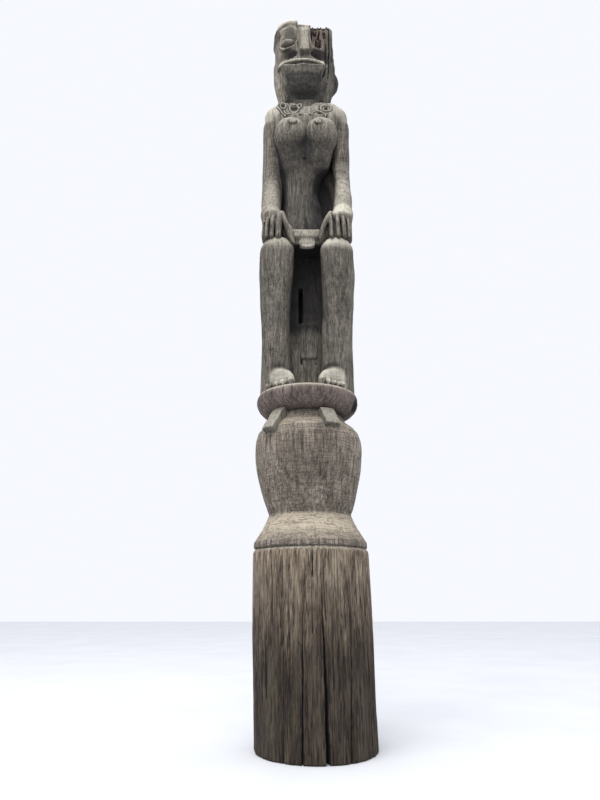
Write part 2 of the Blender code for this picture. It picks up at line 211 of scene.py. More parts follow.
@dataclass(frozen=True)
class Limb:
    """A round tube through points with its own radius at each.

    Attributes:
        points: The points it passes through.
        radii: Its radius at each point.
        depth: Its depth as a share of its width.
        cuts: How many straight lengths each span is made of.
    """

    points: list[Array]
    radii: list[float]
    depth: float = 1.0
    cuts: int = 4

    def path(self) -> tuple[Array, Array]:
        """The path as close-set points, and the radius at each."""
        knots = np.array(self.points)
        if len(knots) == 2:
            return knots, np.array(self.radii)
        wrapped = np.vstack((2 * knots[0] - knots[1], knots, 2 * knots[-1] - knots[-2]))
        line, thick = [], []
        for i in range(len(knots) - 1):
            a, b, c, d = wrapped[i : i + 4]
            for step in range(self.cuts):
                t = step / self.cuts
                curve = 2 * b + (c - a) * t + (2 * a - 5 * b + 4 * c - d) * t**2
                curve = curve + (3 * b - a - 3 * c + d) * t**3
                line.append(curve / 2)
                ease = t * t * (3 - 2 * t)
                thick.append(self.radii[i] * (1 - ease) + self.radii[i + 1] * ease)
        line.append(knots[-1])
        thick.append(self.radii[-1])
        return np.array(line), np.array(thick)

    def box(self) -> tuple[Array, Array]:
        """Lowest and highest corner of the form."""
        line, thick = self.path()
        reach = thick.max() * max(1.0, self.depth)
        return line.min(0) - reach, line.max(0) + reach

    def distance(self, x: Array, y: Array, z: Array) -> Array:
        """Distance of points from its surface, negative inside."""
        line, thick = self.path()
        nearest = np.full(np.broadcast_shapes(x.shape, y.shape, z.shape), FAR, np.float32)
        for start, end, first, last in zip(line, line[1:], thick, thick[1:]):
            way = end - start
            way_y = way[1] / self.depth
            px, py, pz = x - start[0], (y - start[1]) / self.depth, z - start[2]
            length = max(way[0] ** 2 + way_y**2 + way[2] ** 2, 1e-12)
            t = np.clip((px * way[0] + py * way_y + pz * way[2]) / length, 0, 1)
            gap = np.sqrt((px - t * way[0]) ** 2 + (py - t * way_y) ** 2 + (pz - t * way[2]) ** 2)
            np.minimum(nearest, gap - (first + t * (last - first)), out=nearest)
        return nearest


@dataclass(frozen=True)
class Outside:
    """All in front that lies further out from the log's middle than a radius, between two heights.

    Attributes:
        radius: The radius.
        low: The lower height.
        high: The upper height.
        back: How far back it reaches.
    """

    radius: float
    low: float
    high: float
    back: float

    def box(self) -> tuple[Array, Array]:
        """Lowest and highest corner of the form."""
        reach = 1.5 * POLE.log_radius
        return np.array((-reach, -reach, self.low)), np.array((reach, reach, self.high))

    def distance(self, x: Array, y: Array, z: Array) -> Array:
        """Distance of points from its surface, negative inside."""
        limits = np.maximum(np.maximum(self.low - z, z - self.high), y - self.back)
        return np.maximum(self.radius - np.sqrt(x**2 + y**2), limits)


@dataclass(frozen=True)
class Column:
    """An upright body with its own middle and radius at each height.

    Attributes:
        spots: Its middle and its radius at rising heights: x, y, z and radius.
        depth: Its depth as a share of its width.
    """

    spots: tuple[tuple[float, float, float, float], ...]
    depth: float = 1.0

    def box(self) -> tuple[Array, Array]:
        """Lowest and highest corner of the form."""
        x, y, z, reach = np.array(self.spots).T
        low = np.array(((x - reach).min(), (y - reach).min(), z[0]))
        return low, np.array(((x + reach).max(), (y + reach).max(), z[-1]))

    def distance(self, x: Array, y: Array, z: Array) -> Array:
        """Distance of points from its surface, negative inside."""
        across, back, heights, radii = np.array(self.spots).T
        number = np.clip(np.searchsorted(heights, z) - 1, 0, len(heights) - 2)
        part = smooth_step((z - heights[number]) / (heights[number + 1] - heights[number]))
        at = [line[number] * (1 - part) + line[number + 1] * part for line in (across, back, radii)]
        side = np.sqrt((x - at[0]) ** 2 + ((y - at[1]) / self.depth) ** 2) - at[2]
        return np.maximum(side, np.maximum(heights[0] - z, z - heights[-1]))


Form = Ball | Block | Limb | Outside | Column


@dataclass(frozen=True)
class Ruler:
    """Sets forms out on the figure: across and back in girths, up as shares of its height.

    Attributes:
        middle: How far the middle that it measures from is off the log's, in girths.
    """

    middle: float = 0.0

    def spot(self, x: float, y: float, z: float) -> Array:
        """A place in metres."""
        return POLE.share(x + self.middle, y, z)

    def spots(self, *places: Point) -> list[Array]:
        """Places in metres."""
        return [self.spot(*place) for place in places]

    @staticmethod
    def size(across: float, back: float, up: float) -> Point:
        """A width, a depth and a height in metres."""
        return POLE.wide(across), POLE.wide(back), POLE.tall(up)

    def ball(self, place: Point, radii: Point, turn: Point = (0.0, 0.0, 0.0)) -> Ball:
        """An egg-shaped form at a place."""
        return Ball(self.spot(*place), self.size(*radii), turn)

    def block(
        self, place: Point, size: Point, turn: Point = (0.0, 0.0, 0.0), edge: float = 0.0, taper: float = 1.0
    ) -> Block:
        """A box at a place, with the radius of its edges in metres."""
        return Block(self.spot(*place), self.size(*size), turn, edge, taper)

    def limb(self, places: Sequence[Point], girths: Sequence[float], depth: float = 1.0) -> Limb:
        """A tube through places, with its radius at each in girths."""
        return Limb(self.spots(*places), [POLE.wide(girth) for girth in girths], depth)


FIGURE = Ruler()
MASK = Ruler(middle=-0.04)


def local_coordinates(x: Array, y: Array, z: Array, centre: Array, turn: Point) -> tuple[Array, Array, Array]:
    """Coordinates of points in a turned form's own axes.

    Args:
        x: Across.
        y: Back.
        z: Up.
        centre: The form's middle.
        turn: The form's turn in degrees.

    Returns:
        The three coordinates along the form's own axes.
    """
    px, py, pz = x - centre[0], y - centre[1], z - centre[2]
    if not any(turn):
        return px, py, pz
    axes = turned_axes(turn)
    return tuple(axes[0, i] * px + axes[1, i] * py + axes[2, i] * pz for i in range(3))


def smooth_step(t: Array) -> Array:
    """t eased in and out between 0 and 1."""
    t = np.clip(t, 0, 1)
    return t * t * (3 - 2 * t)


def spread_noise(lines: tuple[Array, Array, Array], sizes: Point, seed: int) -> Array:
    """Smooth noise on a grid.

    Args:
        lines: The grid's coordinates along each axis.
        sizes: How far apart the noise's own points are along each axis.
        seed: Which noise it is.

    Returns:
        Noise from -1 to 1 at every grid point.
    """
    source = np.random.default_rng(seed)
    spots = [(line - line[0]) / size for line, size in zip(lines, sizes)]
    noise = source.uniform(-1, 1, [int(spot[-1]) + 2 for spot in spots]).astype(np.float32)
    for axis, spot in enumerate(spots):
        low = spot.astype(int)
        ease = smooth_step(spot - low).astype(np.float32)
        shape = [1, 1, 1]
        shape[axis] = -1
        ease = ease.reshape(shape)
        noise = np.take(noise, low, axis) * (1 - ease) + np.take(noise, low + 1, axis) * ease
    return noise


def blurred(grid: Array, reach: int) -> Array:
    """The grid averaged over a cube of reach cells each way."""
    span = 2 * reach + 1
    for axis in range(3):
        width = [(0, 0)] * 3
        width[axis] = (reach + 1, reach)
        total = np.cumsum(np.pad(grid, width, mode="edge"), axis, dtype=np.float64)
        first = np.arange(grid.shape[axis])
        grid = (np.take(total, first + span, axis) - np.take(total, first, axis)) / span
    return grid.astype(np.float32)


def sampled(grid: Array, low: Array, step: float, points: Array) -> Array:
    """The grid's values at points between its own.

    Args:
        grid: Values on a grid.
        low: The grid's first corner.
        step: The grid's spacing.
        points: Points as rows.

    Returns:
        One value for each point.
    """
    place = np.clip((points - low) / step, 0, np.array(grid.shape) - 1.001)
    cell = place.astype(int)
    part = place - cell
    total = np.zeros(len(points))
    for corner in np.ndindex(2, 2, 2):
        weight = np.prod(np.where(np.array(corner) == 1, part, 1 - part), axis=1)
        at = cell + corner
        total += weight * grid[at[:, 0], at[:, 1], at[:, 2]]
    return total


@dataclass
class Carving:
    """A piece of wood held as distances on a grid, built up and cut with rounded tools.

    Attributes:
        low: The grid's first corner.
        high: The grid's last corner.
        step: The grid's spacing.
        distance: The distance of each grid point from the wood's surface, negative inside.
        lines: The grid's coordinates along each axis.
    """

    low: Array
    high: Array
    step: float
    distance: Array = field(init=False)
    lines: tuple[Array, Array, Array] = field(init=False)

    def __post_init__(self) -> None:
        """Lays the empty grid out."""
        self.step *= COARSE
        counts = [int(math.ceil((b - a) / self.step)) + 1 for a, b in zip(self.low, self.high)]
        self.lines = tuple(a + self.step * np.arange(n) for a, n in zip(self.low, counts))
        self.distance = np.full(counts, FAR, np.float32)

    def window(self, form: Form, margin: float) -> tuple[slice, slice, slice]:
        """The part of the grid round a form.

        Args:
            form: The form.
            margin: How far past the form it reaches.

        Returns:
            One slice for each axis.
        """
        low, high = form.box()
        first = np.floor((low - margin - self.low) / self.step).astype(int)
        last = np.ceil((high + margin - self.low) / self.step).astype(int) + 1
        return tuple(slice(max(0, a), max(0, b)) for a, b in zip(first, last))

    def coordinates(self, window: tuple[slice, slice, slice]) -> tuple[Array, Array, Array]:
        """The grid's coordinates in a window, ready to be combined."""
        x, y, z = (line[part].astype(np.float32) for line, part in zip(self.lines, window))
        return x[:, None, None], y[None, :, None], z[None, None, :]

    def build(self, form: Form, blend: float = 0.004) -> None:
        """Adds a form.

        Args:
            form: The form.
            blend: How softly it runs into what is there.
        """
        part = self.window(form, blend + 0.02)
        near = form.distance(*self.coordinates(part)).astype(np.float32)
        here = self.distance[part]
        if here.size:
            self.distance[part] = softer(here, near, blend)

    def cut(self, form: Form, blend: float = 0.003) -> None:
        """Takes a form away.

        Args:
            form: The form.
            blend: How rounded the cut's edge is.
        """
        part = self.window(form, blend + 0.02)
        near = form.distance(*self.coordinates(part)).astype(np.float32)
        here = self.distance[part]
        if here.size:
            self.distance[part] = -softer(-here, near, blend)

    def weather(self, depth: float, sizes: Point, seed: int) -> None:
        """Wears the surface in and out by up to depth, in patches of the given sizes."""
        self.distance += depth * spread_noise(self.lines, sizes, seed)

    def front(self, x: float, z: float) -> float:
        """How far back the wood's front lies at one place."""
        i, k = int(round((x - self.low[0]) / self.step)), int(round((z - self.low[2]) / self.step))
        column = self.distance[i, :, k]
        first = int(np.argmax(column < 0))
        before, after = column[first - 1], column[first]
        return float(self.lines[1][first - 1] + self.step * before / (before - after))

    def closed(self) -> Array:
        """The distances with the grid's border left empty, so that the skin closes."""
        shut = self.distance.copy()
        for axis in range(3):
            for end in (0, -1):
                place = [slice(None)] * 3
                place[axis] = end
                shut[tuple(place)] = np.maximum(shut[tuple(place)], self.step)
        return shut

    def skin(self) -> tuple[Array, Array]:
        """The surface as points and four-sided faces that look outwards."""
        values = self.closed()
        solid = values < 0
        corners = list(np.ndindex(2, 2, 2))
        ends = [n - 1 for n in solid.shape]
        filled = sum(
            solid[i : i + ends[0], j : j + ends[1], k : k + ends[2]].astype(np.int8) for i, j, k in corners
        )
        live = (filled > 0) & (filled < 8)
        cells = np.argwhere(live)
        number = np.full(live.shape, -1, np.int32)
        number[live] = np.arange(len(cells))
        at = {c: values[cells[:, 0] + c[0], cells[:, 1] + c[1], cells[:, 2] + c[2]] for c in corners}
        total, hits = np.zeros((len(cells), 3)), np.zeros(len(cells))
        for axis in range(3):
            for start in (c for c in corners if c[axis] == 0):
                end = tuple(1 if i == axis else start[i] for i in range(3))
                crossed = (at[start] < 0) != (at[end] < 0)
                part = np.where(crossed, at[start] / np.where(crossed, at[start] - at[end], 1), 0)
                spot = np.tile(np.array(start, float), (len(cells), 1))
                spot[:, axis] += part
                total += spot * crossed[:, None]
                hits += crossed
        points = (cells + total / hits[:, None]) * self.step + self.low
        return points, self.faces(solid, number)

    @staticmethod
    def faces(solid: Array, number: Array) -> Array:
        """Four-sided faces across every grid edge that leaves the solid.

        Args:
            solid: Which grid points are inside.
            number: The surface point of each cell.

        Returns:
            Four point numbers for each face.
        """
        made = []
        for axis in range(3):
            low = np.take(solid, range(solid.shape[axis] - 1), axis)
            high = np.take(solid, range(1, solid.shape[axis]), axis)
            edges = np.argwhere(low != high)
            u, v = np.eye(3, dtype=int)[[(axis + 1) % 3, (axis + 2) % 3]]
            around = [number[tuple((edges - shift).T)] for shift in (0 * u, u, u + v, v)]
            quads = np.stack(around, 1)
            leaving = low[tuple(edges.T)]
            quads[~leaving] = quads[~leaving][:, ::-1]
            made.append(quads)
        return np.vstack(made)


def softer(a: Array, b: Array, blend: float) -> Array:
    """The lesser of two distances, with a rounded corner of size blend."""
    if blend <= 0:
        return np.minimum(a, b)
    h = np.clip(0.5 + 0.5 * (a - b) / blend, 0, 1)
    return a * (1 - h) + b * h - blend * h * (1 - h)


@dataclass
class Hollows:
    """How enclosed each place on the pole is, from a coarse grid of all its wood, for the painted shade and
    dirt of its hollows.

    Attributes:
        step: The grid's spacing.
        low: The grid's first corner.
        high: The grid's last corner.
        wood: Which grid points lie in wood.
        near: How much wood lies close by.
        wide: How much wood lies round about, further off.
    """

    step: float = 0.004
    low: Array = field(default_factory=lambda: np.array((-0.17, -0.17, -0.03)))
    high: Array = field(default_factory=lambda: np.array((0.17, 0.17, 2.04)))
    wood: Array = field(init=False)
    near: Array = field(init=False)
    wide: Array = field(init=False)

    def __post_init__(self) -> None:
        """Lays the empty grid out."""
        counts = np.ceil((self.high - self.low) / self.step).astype(int) + 1
        self.wood = np.zeros(counts, np.float32)

    def add_carving(self, carving: Carving) -> None:
        """Marks the wood of a carving."""
        inside = carving.distance < 0
        lines = [self.low[i] + self.step * np.arange(self.wood.shape[i]) for i in range(3)]
        spots = [np.round((lines[i] - carving.low[i]) / carving.step).astype(int) for i in range(3)]
        keep = [(spot >= 0) & (spot < inside.shape[i]) for i, spot in enumerate(spots)]
        here = np.ix_(*[np.flatnonzero(k) for k in keep])
        there = np.ix_(*[spot[k] for spot, k in zip(spots, keep)])
        self.wood[here] = np.maximum(self.wood[here], inside[there])

    def add_turned(self, heights: Array, radii: Array) -> None:
        """Marks the wood inside a turned outline, from its heights in rising order and its radii."""
        lines = [self.low[i] + self.step * np.arange(self.wood.shape[i]) for i in range(3)]
        reach = np.interp(lines[2], heights, radii, left=0, right=0)
        middle = POLE.lean * np.clip(1 - lines[2] / POLE.dish_base, 0, 1)
        across = (lines[0][:, None] - middle[None, :]) ** 2
        round_about = across[:, None, :] + (lines[1] ** 2)[None, :, None]
        self.wood[round_about < reach[None, None, :] ** 2] = 1.0

    def finish(self) -> None:
        """Averages the wood round every place, close by and further off."""
        self.near = blurred(self.wood, 2)
        self.wide = blurred(blurred(self.wood, 5), 4)

    def at(self, points: Array) -> Array:
        """How enclosed points on the surface are, from 0 on an open face to 1 in a deep hollow."""
        near = sampled(self.near, self.low, self.step, points)
        wide = sampled(self.wide, self.low, self.step, points)
        return np.clip((near - 0.52) * 1.6, 0, 1) * 0.45 + np.clip((wide - 0.48) * 2.6, 0, 1) * 0.75


class NodeGraph:
    """Adds nodes to a tree and links them."""

    def __init__(self, tree: bpy.types.NodeTree) -> None:
        """Starts on an empty tree."""
        self.tree = tree
        tree.nodes.clear()

    def node(self, kind: str, inputs: dict | None = None, **settings: object) -> bpy.types.Node:
        """Adds one node.

        Args:
            kind: The node's type.
            inputs: Values or sockets by the input's name or number.
            settings: The node's own settings.

        Returns:
            The new node.
        """
        made = self.tree.nodes.new(kind)
        for name, value in settings.items():
            setattr(made, name, value)
        for name, value in (inputs or {}).items():
            socket = made.inputs[name]
            if isinstance(value, bpy.types.NodeSocket):
                self.tree.links.new(value, socket)
            else:
                socket.default_value = value
        return made

    def math(self, operation: str, *values: object) -> bpy.types.NodeSocket:
        """The result of a Math node on the values."""
        made = self.node("ShaderNodeMath", dict(enumerate(values)), operation=operation)
        return made.outputs[0]

    def ranged(self, value: object, low: float, high: float, start: float = 0.0, end: float = 1.0) -> object:
        """value moved from low..high to start..end, and kept there."""
        inputs = {0: value, 1: low, 2: high, 3: start, 4: end}
        return self.node("ShaderNodeMapRange", inputs, clamp=True).outputs[0]

    def mixed(self, share: object, first: object, second: object, blend: str = "MIX") -> object:
        """Two colours mixed by share."""
        made = self.node("ShaderNodeMix", data_type="RGBA", blend_type=blend)
        for number, value in ((0, share), (6, first), (7, second)):
            if isinstance(value, bpy.types.NodeSocket):
                self.tree.links.new(value, made.inputs[number])
            else:
                made.inputs[number].default_value = value
        return made.outputs[2]

    def noise(self, place: object, scale: float, detail: float = 4.0, rough: float = 0.6) -> object:
        """The strength of a noise texture at place."""
        inputs = {"Vector": place, "Scale": scale, "Detail": detail, "Roughness": rough}
        return self.node("ShaderNodeTexNoise", inputs).outputs["Fac"]


class PieceTree(NodeGraph):
    """A Geometry Nodes tree that works on a piece and gives it its finish."""

    def __init__(self, name: str, values: dict[str, float]) -> None:
        """Starts a tree that is given a geometry and the named values."""
        super().__init__(bpy.data.node_groups.new(name, "GeometryNodeTree"))
        interface = self.tree.interface
        interface.new_socket(name="Geometry", in_out="INPUT", socket_type="NodeSocketGeometry")
        interface.new_socket(name="Geometry", in_out="OUTPUT", socket_type="NodeSocketGeometry")
        self.values = {}
        for label, value in values.items():
            socket = interface.new_socket(name=label, in_out="INPUT", socket_type="NodeSocketFloat")
            self.values[socket.identifier] = value
        self.given = self.node("NodeGroupInput").outputs

    def dress(self, geometry: bpy.types.NodeSocket, material: bpy.types.Material) -> None:
        """Ends the tree: makes the geometry real and gives it the finish."""
        real = self.node("GeometryNodeRealizeInstances", {"Geometry": geometry})
        dressed = self.node("GeometryNodeSetMaterial", {"Geometry": real.outputs[0], "Material": material})
        self.node("NodeGroupOutput", {"Geometry": dressed.outputs[0]})

    def apply(self, made: bpy.types.Object) -> bpy.types.Object:
        """Runs the tree on a piece and leaves it a plain mesh."""
        modifier = made.modifiers.new(self.tree.name, "NODES")
        modifier.node_group = self.tree
        for socket, value in self.values.items():
            modifier[socket] = value
        return plain(made)


@dataclass(frozen=True)
class AgedWood:
    """Hardwood that has stood outdoors: grey fibres, hollows and undersides darkened with dirt and painted
    shade, tops made paler by weathering and by painted light from above, and fine drying checks.

    Attributes:
        name: The material's name.
        dark: The colour of the grain's dark streaks.
        mid: The wood's usual colour.
        light: The colour of its raised, worn fibres.
        dirt_and_shade: The colour of dirt and of painted shade in its hollows and on faces that look down,
            and of its fine checks.
        bleached_and_lit: The colour of faces that look up, pale from weathering and painted lit from above,
            and of worn places.
        ground: The colour near the ground.
        rot: The colour of rotten wood.
        ground_height: The height where the ground's colour has gone, or 0.
        ground_share: The share of that height where it is still full.
        bleach_and_top_light: How far faces that look up are made paler, by weathering and by painted light
            from above.
        shade: How far faces that look down are darkened with painted shade.
        checks: How strongly the fine drying checks show.
        relief: The depth of the fine relief.
        stain: The middle and the radii of a dark stain, or nothing.
    """

    name: str
    dark: Colour = (0.060, 0.052, 0.042, 1)
    mid: Colour = (0.165, 0.146, 0.118, 1)
    light: Colour = (0.300, 0.272, 0.222, 1)
    dirt_and_shade: Colour = (0.014, 0.013, 0.014, 1)
    bleached_and_lit: Colour = (0.560, 0.520, 0.430, 1)
    ground: Colour = (0.022, 0.016, 0.013, 1)
    rot: Colour = (0.100, 0.062, 0.050, 1)
    ground_height: float = 0.0
    ground_share: float = 0.45
    bleach_and_top_light: float = 0.66
    shade: float = 0.45
    checks: float = 0.8
    relief: float = 0.0016
    stain: tuple[Point, Point] | None = None

    def material(self) -> bpy.types.Material:
        """The finish as a material."""
        made = bpy.data.materials.new(self.name)
        made.use_nodes = True
        graph = NodeGraph(made.node_tree)
        place = graph.node("ShaderNodeTexCoord").outputs["Object"]
        broad = graph.noise(self.stretched(graph, place, 0.10), 30.0, 5.0, 0.6)
        streaks = graph.noise(self.stretched(graph, place, 0.08), 125.0, 5.0, 0.68)
        fibres = graph.noise(self.stretched(graph, place, 0.090), 380.0, 3.0, 0.7)
        patches = graph.noise(place, 9.0, 5.0, 0.6)
        cracks = self.fine_checks(graph, place, patches)
        cracks = graph.math("MAXIMUM", cracks, self.cross_checks(graph, place))
        colour = self.toned(graph, self.tone(graph, broad, streaks, fibres, patches))
        colour = self.stained(graph, colour, place, patches)
        colour = self.weathered(graph, colour, patches, fibres)
        colour = self.grounded(graph, colour, place, broad)
        colour = self.soiled_and_shaded(graph, colour, patches)
        colour = graph.mixed(graph.math("MULTIPLY", cracks, self.checks), colour, self.dirt_and_shade)
        height = graph.math("ADD", graph.math("MULTIPLY", streaks, 0.7), graph.math("MULTIPLY", fibres, 0.5))
        height = graph.math("SUBTRACT", height, graph.math("MULTIPLY", cracks, 0.9))
        bump = graph.node("ShaderNodeBump", {"Strength": 0.9, "Distance": self.relief, "Height": height})
        shader = graph.node("ShaderNodeBsdfPrincipled", {"Base Color": colour, "Normal": bump.outputs[0]})
        graph.tree.links.new(graph.ranged(fibres, 0.3, 0.7, 0.97, 0.72), shader.inputs["Roughness"])
        shader.inputs["Specular IOR Level"].default_value = 0.25
        graph.node("ShaderNodeOutputMaterial", {"Surface": shader.outputs[0]})
        return made

    @staticmethod
    def stretched(graph: NodeGraph, place: object, along: float) -> object:
        """Coordinates drawn out along the grain."""
        return graph.node("ShaderNodeMapping", {"Vector": place, "Scale": (1.0, 1.0, along)}).outputs[0]

    @staticmethod
    def tone(graph: NodeGraph, broad: object, streaks: object, fibres: object, patches: object) -> object:
        """How light the grain is, from its broad bands, streaks, fibres and patches."""
        total = graph.math("MULTIPLY", broad, 0.26)
        total = graph.math("MULTIPLY_ADD", streaks, 0.40, total)
        total = graph.math("MULTIPLY_ADD", fibres, 0.46, total)
        return graph.math("MULTIPLY_ADD", patches, 0.20, total)

    def fine_checks(self, graph: NodeGraph, place: object, patches: object) -> object:
        """Thin dark lines along the grain, thicker set in some patches."""
        bands = graph.noise(self.stretched(graph, place, 0.045), 120.0, 2.0, 0.5)
        near = graph.math("ABSOLUTE", graph.math("SUBTRACT", bands, 0.5))
        lines = graph.ranged(near, 0.0, 0.022, 1.0, 0.0)
        return graph.math("MULTIPLY", lines, graph.ranged(patches, 0.40, 0.62))

    @staticmethod
    def cross_checks(graph: NodeGraph, place: object) -> object:
        """Short fine lines across the grain where the wood is marked as crossed."""
        drawn = graph.node("ShaderNodeMapping", {"Vector": place, "Scale": (0.14, 0.14, 1.0)}).outputs[0]
        near = graph.math("ABSOLUTE", graph.math("SUBTRACT", graph.noise(drawn, 150.0, 2.0, 0.5), 0.5))
        crossed = graph.node("ShaderNodeAttribute", attribute_name="crossed").outputs["Fac"]
        return graph.math("MULTIPLY", graph.ranged(near, 0.0, 0.035, 0.9, 0.0), crossed)

    def toned(self, graph: NodeGraph, tone: object) -> object:
        """The grain's colours by tone."""
        ramp = graph.node("ShaderNodeValToRGB", {0: tone})
        points = ramp.color_ramp.elements
        points[0].position, points[0].color = 0.55, self.dark
        points[1].position, points[1].color = 0.77, self.light
        middle = points.new(0.66)
        middle.color = self.mid
        return ramp.outputs[0]

    def stained(self, graph: NodeGraph, colour: object, place: object, patches: object) -> object:
        """colour with a dark stain with two lobes at its top."""
        if not self.stain:
            return colour
        (x, _, z), (wide, _, tall) = self.stain
        parts = graph.node("ShaderNodeSeparateXYZ", {0: place}).outputs
        across = graph.math("MULTIPLY", graph.math("SUBTRACT", parts[0], x), 1 / wide)
        up = graph.math("MULTIPLY", graph.math("SUBTRACT", parts[2], z), 1 / tall)
        up = graph.math("MULTIPLY_ADD", graph.math("ABSOLUTE", across), -0.55, up)
        reach = graph.math("ADD", graph.math("MULTIPLY", across, across), graph.math("MULTIPLY", up, up))
        reach = graph.math("MULTIPLY_ADD", patches, 0.9, reach)
        share = graph.ranged(reach, 1.15, 1.45, 0.34, 0.0)
        front = graph.ranged(parts[1], 0.0, -0.05, 0.0, 1.0)
        return graph.mixed(graph.math("MULTIPLY", share, front), colour, self.dark)

    def weathered(self, graph: NodeGraph, colour: object, patches: object, fibres: object) -> object:
        """colour with painted shade on faces that look down, and with faces that look up and worn places made
        paler, partly by weathering and partly as painted light from above.
        """
        normal = graph.node("ShaderNodeNewGeometry").outputs["Normal"]
        up = graph.node("ShaderNodeSeparateXYZ", {0: normal}).outputs[2]
        # Painted shade on faces that look down
        under = graph.ranged(up, -0.10, -0.80, 0.0, self.shade)
        colour = graph.mixed(under, colour, self.dirt_and_shade)
        # The worn attribute holds real wear and also painted light on lit tops and sides
        worn = graph.node("ShaderNodeAttribute", attribute_name="worn").outputs["Fac"]
        # Faces that look up: weathering and painted light from above
        share = graph.math("ADD", graph.ranged(up, 0.12, 0.75, 0.0, self.bleach_and_top_light), worn)
        share = graph.math("MULTIPLY", share, graph.ranged(patches, 0.30, 0.52, 0.60, 1.0))
        share = graph.math("MULTIPLY", share, graph.ranged(fibres, 0.35, 0.55, 0.75, 1.0))
        return graph.mixed(graph.math("MINIMUM", share, 1.0), colour, self.bleached_and_lit)

    def grounded(self, graph: NodeGraph, colour: object, place: object, broad: object) -> object:
        """colour darkened towards the ground."""
        if not self.ground_height:
            return colour
        height = graph.node("ShaderNodeSeparateXYZ", {0: place}).outputs[2]
        uneven = graph.math("MULTIPLY_ADD", broad, -0.40, height)
        low = self.ground_height * self.ground_share - 0.20
        share = graph.ranged(uneven, low, self.ground_height - 0.20, 0.84, 0.0)
        return graph.mixed(share, colour, self.ground)

    def soiled_and_shaded(self, graph: NodeGraph, colour: object, patches: object) -> object:
        """colour with rot, and with dirt and painted shade in the hollows, creases and cracks."""
        rot = graph.node("ShaderNodeAttribute", attribute_name="rot").outputs["Fac"]
        colour = graph.mixed(rot, colour, self.rot)
        # Painted shade with dirt: darker where the wood is enclosed, in creases and in cracks
        hollow = graph.node("ShaderNodeAttribute", attribute_name="hollow").outputs["Fac"]
        share = graph.math("MULTIPLY", hollow, graph.ranged(patches, 0.2, 0.6, 1.05, 0.88))
        return graph.mixed(share, colour, self.dirt_and_shade)


@dataclass
class ReliefTree:
    """Geometry Nodes that raise and sink a surface along the grain.

    Attributes:
        depth: How far it moves at most.
        across: How many furrows a metre has.
        along: How many breaks a metre has up the grain.
        seed: Which furrows they are.
        floor: The height under which nothing moves.
    """

    depth: float = 0.0009
    across: float = 190.0
    along: float = 9.0
    seed: float = 3.0
    floor: float = 0.004

    def apply(self, made: bpy.types.Object, material: bpy.types.Material) -> bpy.types.Object:
        """Runs the tree on a piece and leaves it a plain mesh.

        Args:
            made: The piece.
            material: The finish that the tree sets.

        Returns:
            The same piece, with its relief.
        """
        values = {"Depth": self.depth, "Across": self.across, "Along": self.along}
        tree = PieceTree("grain_relief", values | {"Seed": self.seed, "Floor": self.floor})
        given = tree.given
        place = tree.node("GeometryNodeInputPosition").outputs[0]
        parts = tree.node("ShaderNodeSeparateXYZ", {0: place}).outputs
        drawn = {
            0: tree.math("MULTIPLY", parts[0], given["Across"]),
            1: tree.math("MULTIPLY", parts[1], given["Across"]),
            2: tree.math("MULTIPLY_ADD", parts[2], given["Along"], given["Seed"]),
        }
        spread = tree.node("ShaderNodeCombineXYZ", drawn).outputs[0]
        furrows = tree.math("SUBTRACT", tree.noise(spread, 1.0, 2.0, 0.55), 0.5)
        above = tree.math("GREATER_THAN", parts[2], given["Floor"])
        reach = tree.math("MULTIPLY", tree.math("MULTIPLY", furrows, above), given["Depth"])
        reach = tree.math("MULTIPLY", reach, 2.0)
        normal = tree.node("GeometryNodeInputNormal").outputs[0]
        offset = tree.node("ShaderNodeVectorMath", {0: normal, "Scale": reach}, operation="SCALE").outputs[0]
        moved = tree.node("GeometryNodeSetPosition", {"Geometry": given["Geometry"], "Offset": offset})
        tree.dress(moved.outputs[0], material)
        return tree.apply(made)


def plain(made: bpy.types.Object) -> bpy.types.Object:
    """The object with its modifiers made into its mesh."""
    bpy.context.view_layer.update()
    shown = made.evaluated_get(bpy.context.evaluated_depsgraph_get())
    mesh = bpy.data.meshes.new_from_object(shown)
    made.modifiers.clear()
    made.data = mesh
    return made


def placed(name: str, data: bpy.types.ID) -> bpy.types.Object:
    """A new object of the data, in the scene."""
    made = bpy.data.objects.new(name, data)
    bpy.context.scene.collection.objects.link(made)
    return made


def mesh_object(name: str, points: Array, faces: list | Array) -> bpy.types.Object:
    """A smooth-shaded mesh object from points and faces.

    Args:
        name: The piece's name.
        points: Its points as rows.
        faces: Its faces as point numbers.

    Returns:
        The object, in the scene.
    """
    mesh = bpy.data.meshes.new(name)
    mesh.from_pydata(points.tolist(), [], faces.tolist() if isinstance(faces, np.ndarray) else faces)
    mesh.polygons.foreach_set("use_smooth", np.ones(len(mesh.polygons), bool))
    mesh.update()
    return placed(name, mesh)


def whole(points: Array, faces: Array) -> tuple[Array, Array]:
    """The largest joined part of a surface, without loose crumbs.

    Args:
        points: The surface's points.
        faces: The surface's faces.

    Returns:
        The kept points and faces.
    """
    label = np.arange(len(points))
    while True:
        low = label[faces].min(1)
        fresh = label.copy()
        for corner in range(faces.shape[1]):
            np.minimum.at(fresh, faces[:, corner], low)
        fresh = fresh[fresh]
        if (fresh == label).all():
            break
        label = fresh
    names, sizes = np.unique(label, return_counts=True)
    keep = label == names[sizes.argmax()]
    number = np.cumsum(keep) - 1
    return points[keep], number[faces[keep[faces].all(1)]]


def set_attribute(made: bpy.types.Object, name: str, values: Array) -> None:
    """Stores one number for each point of the piece's mesh."""
    layer = made.data.attributes.new(name, "FLOAT", "POINT")
    layer.data.foreach_set("value", values.astype(np.float32))


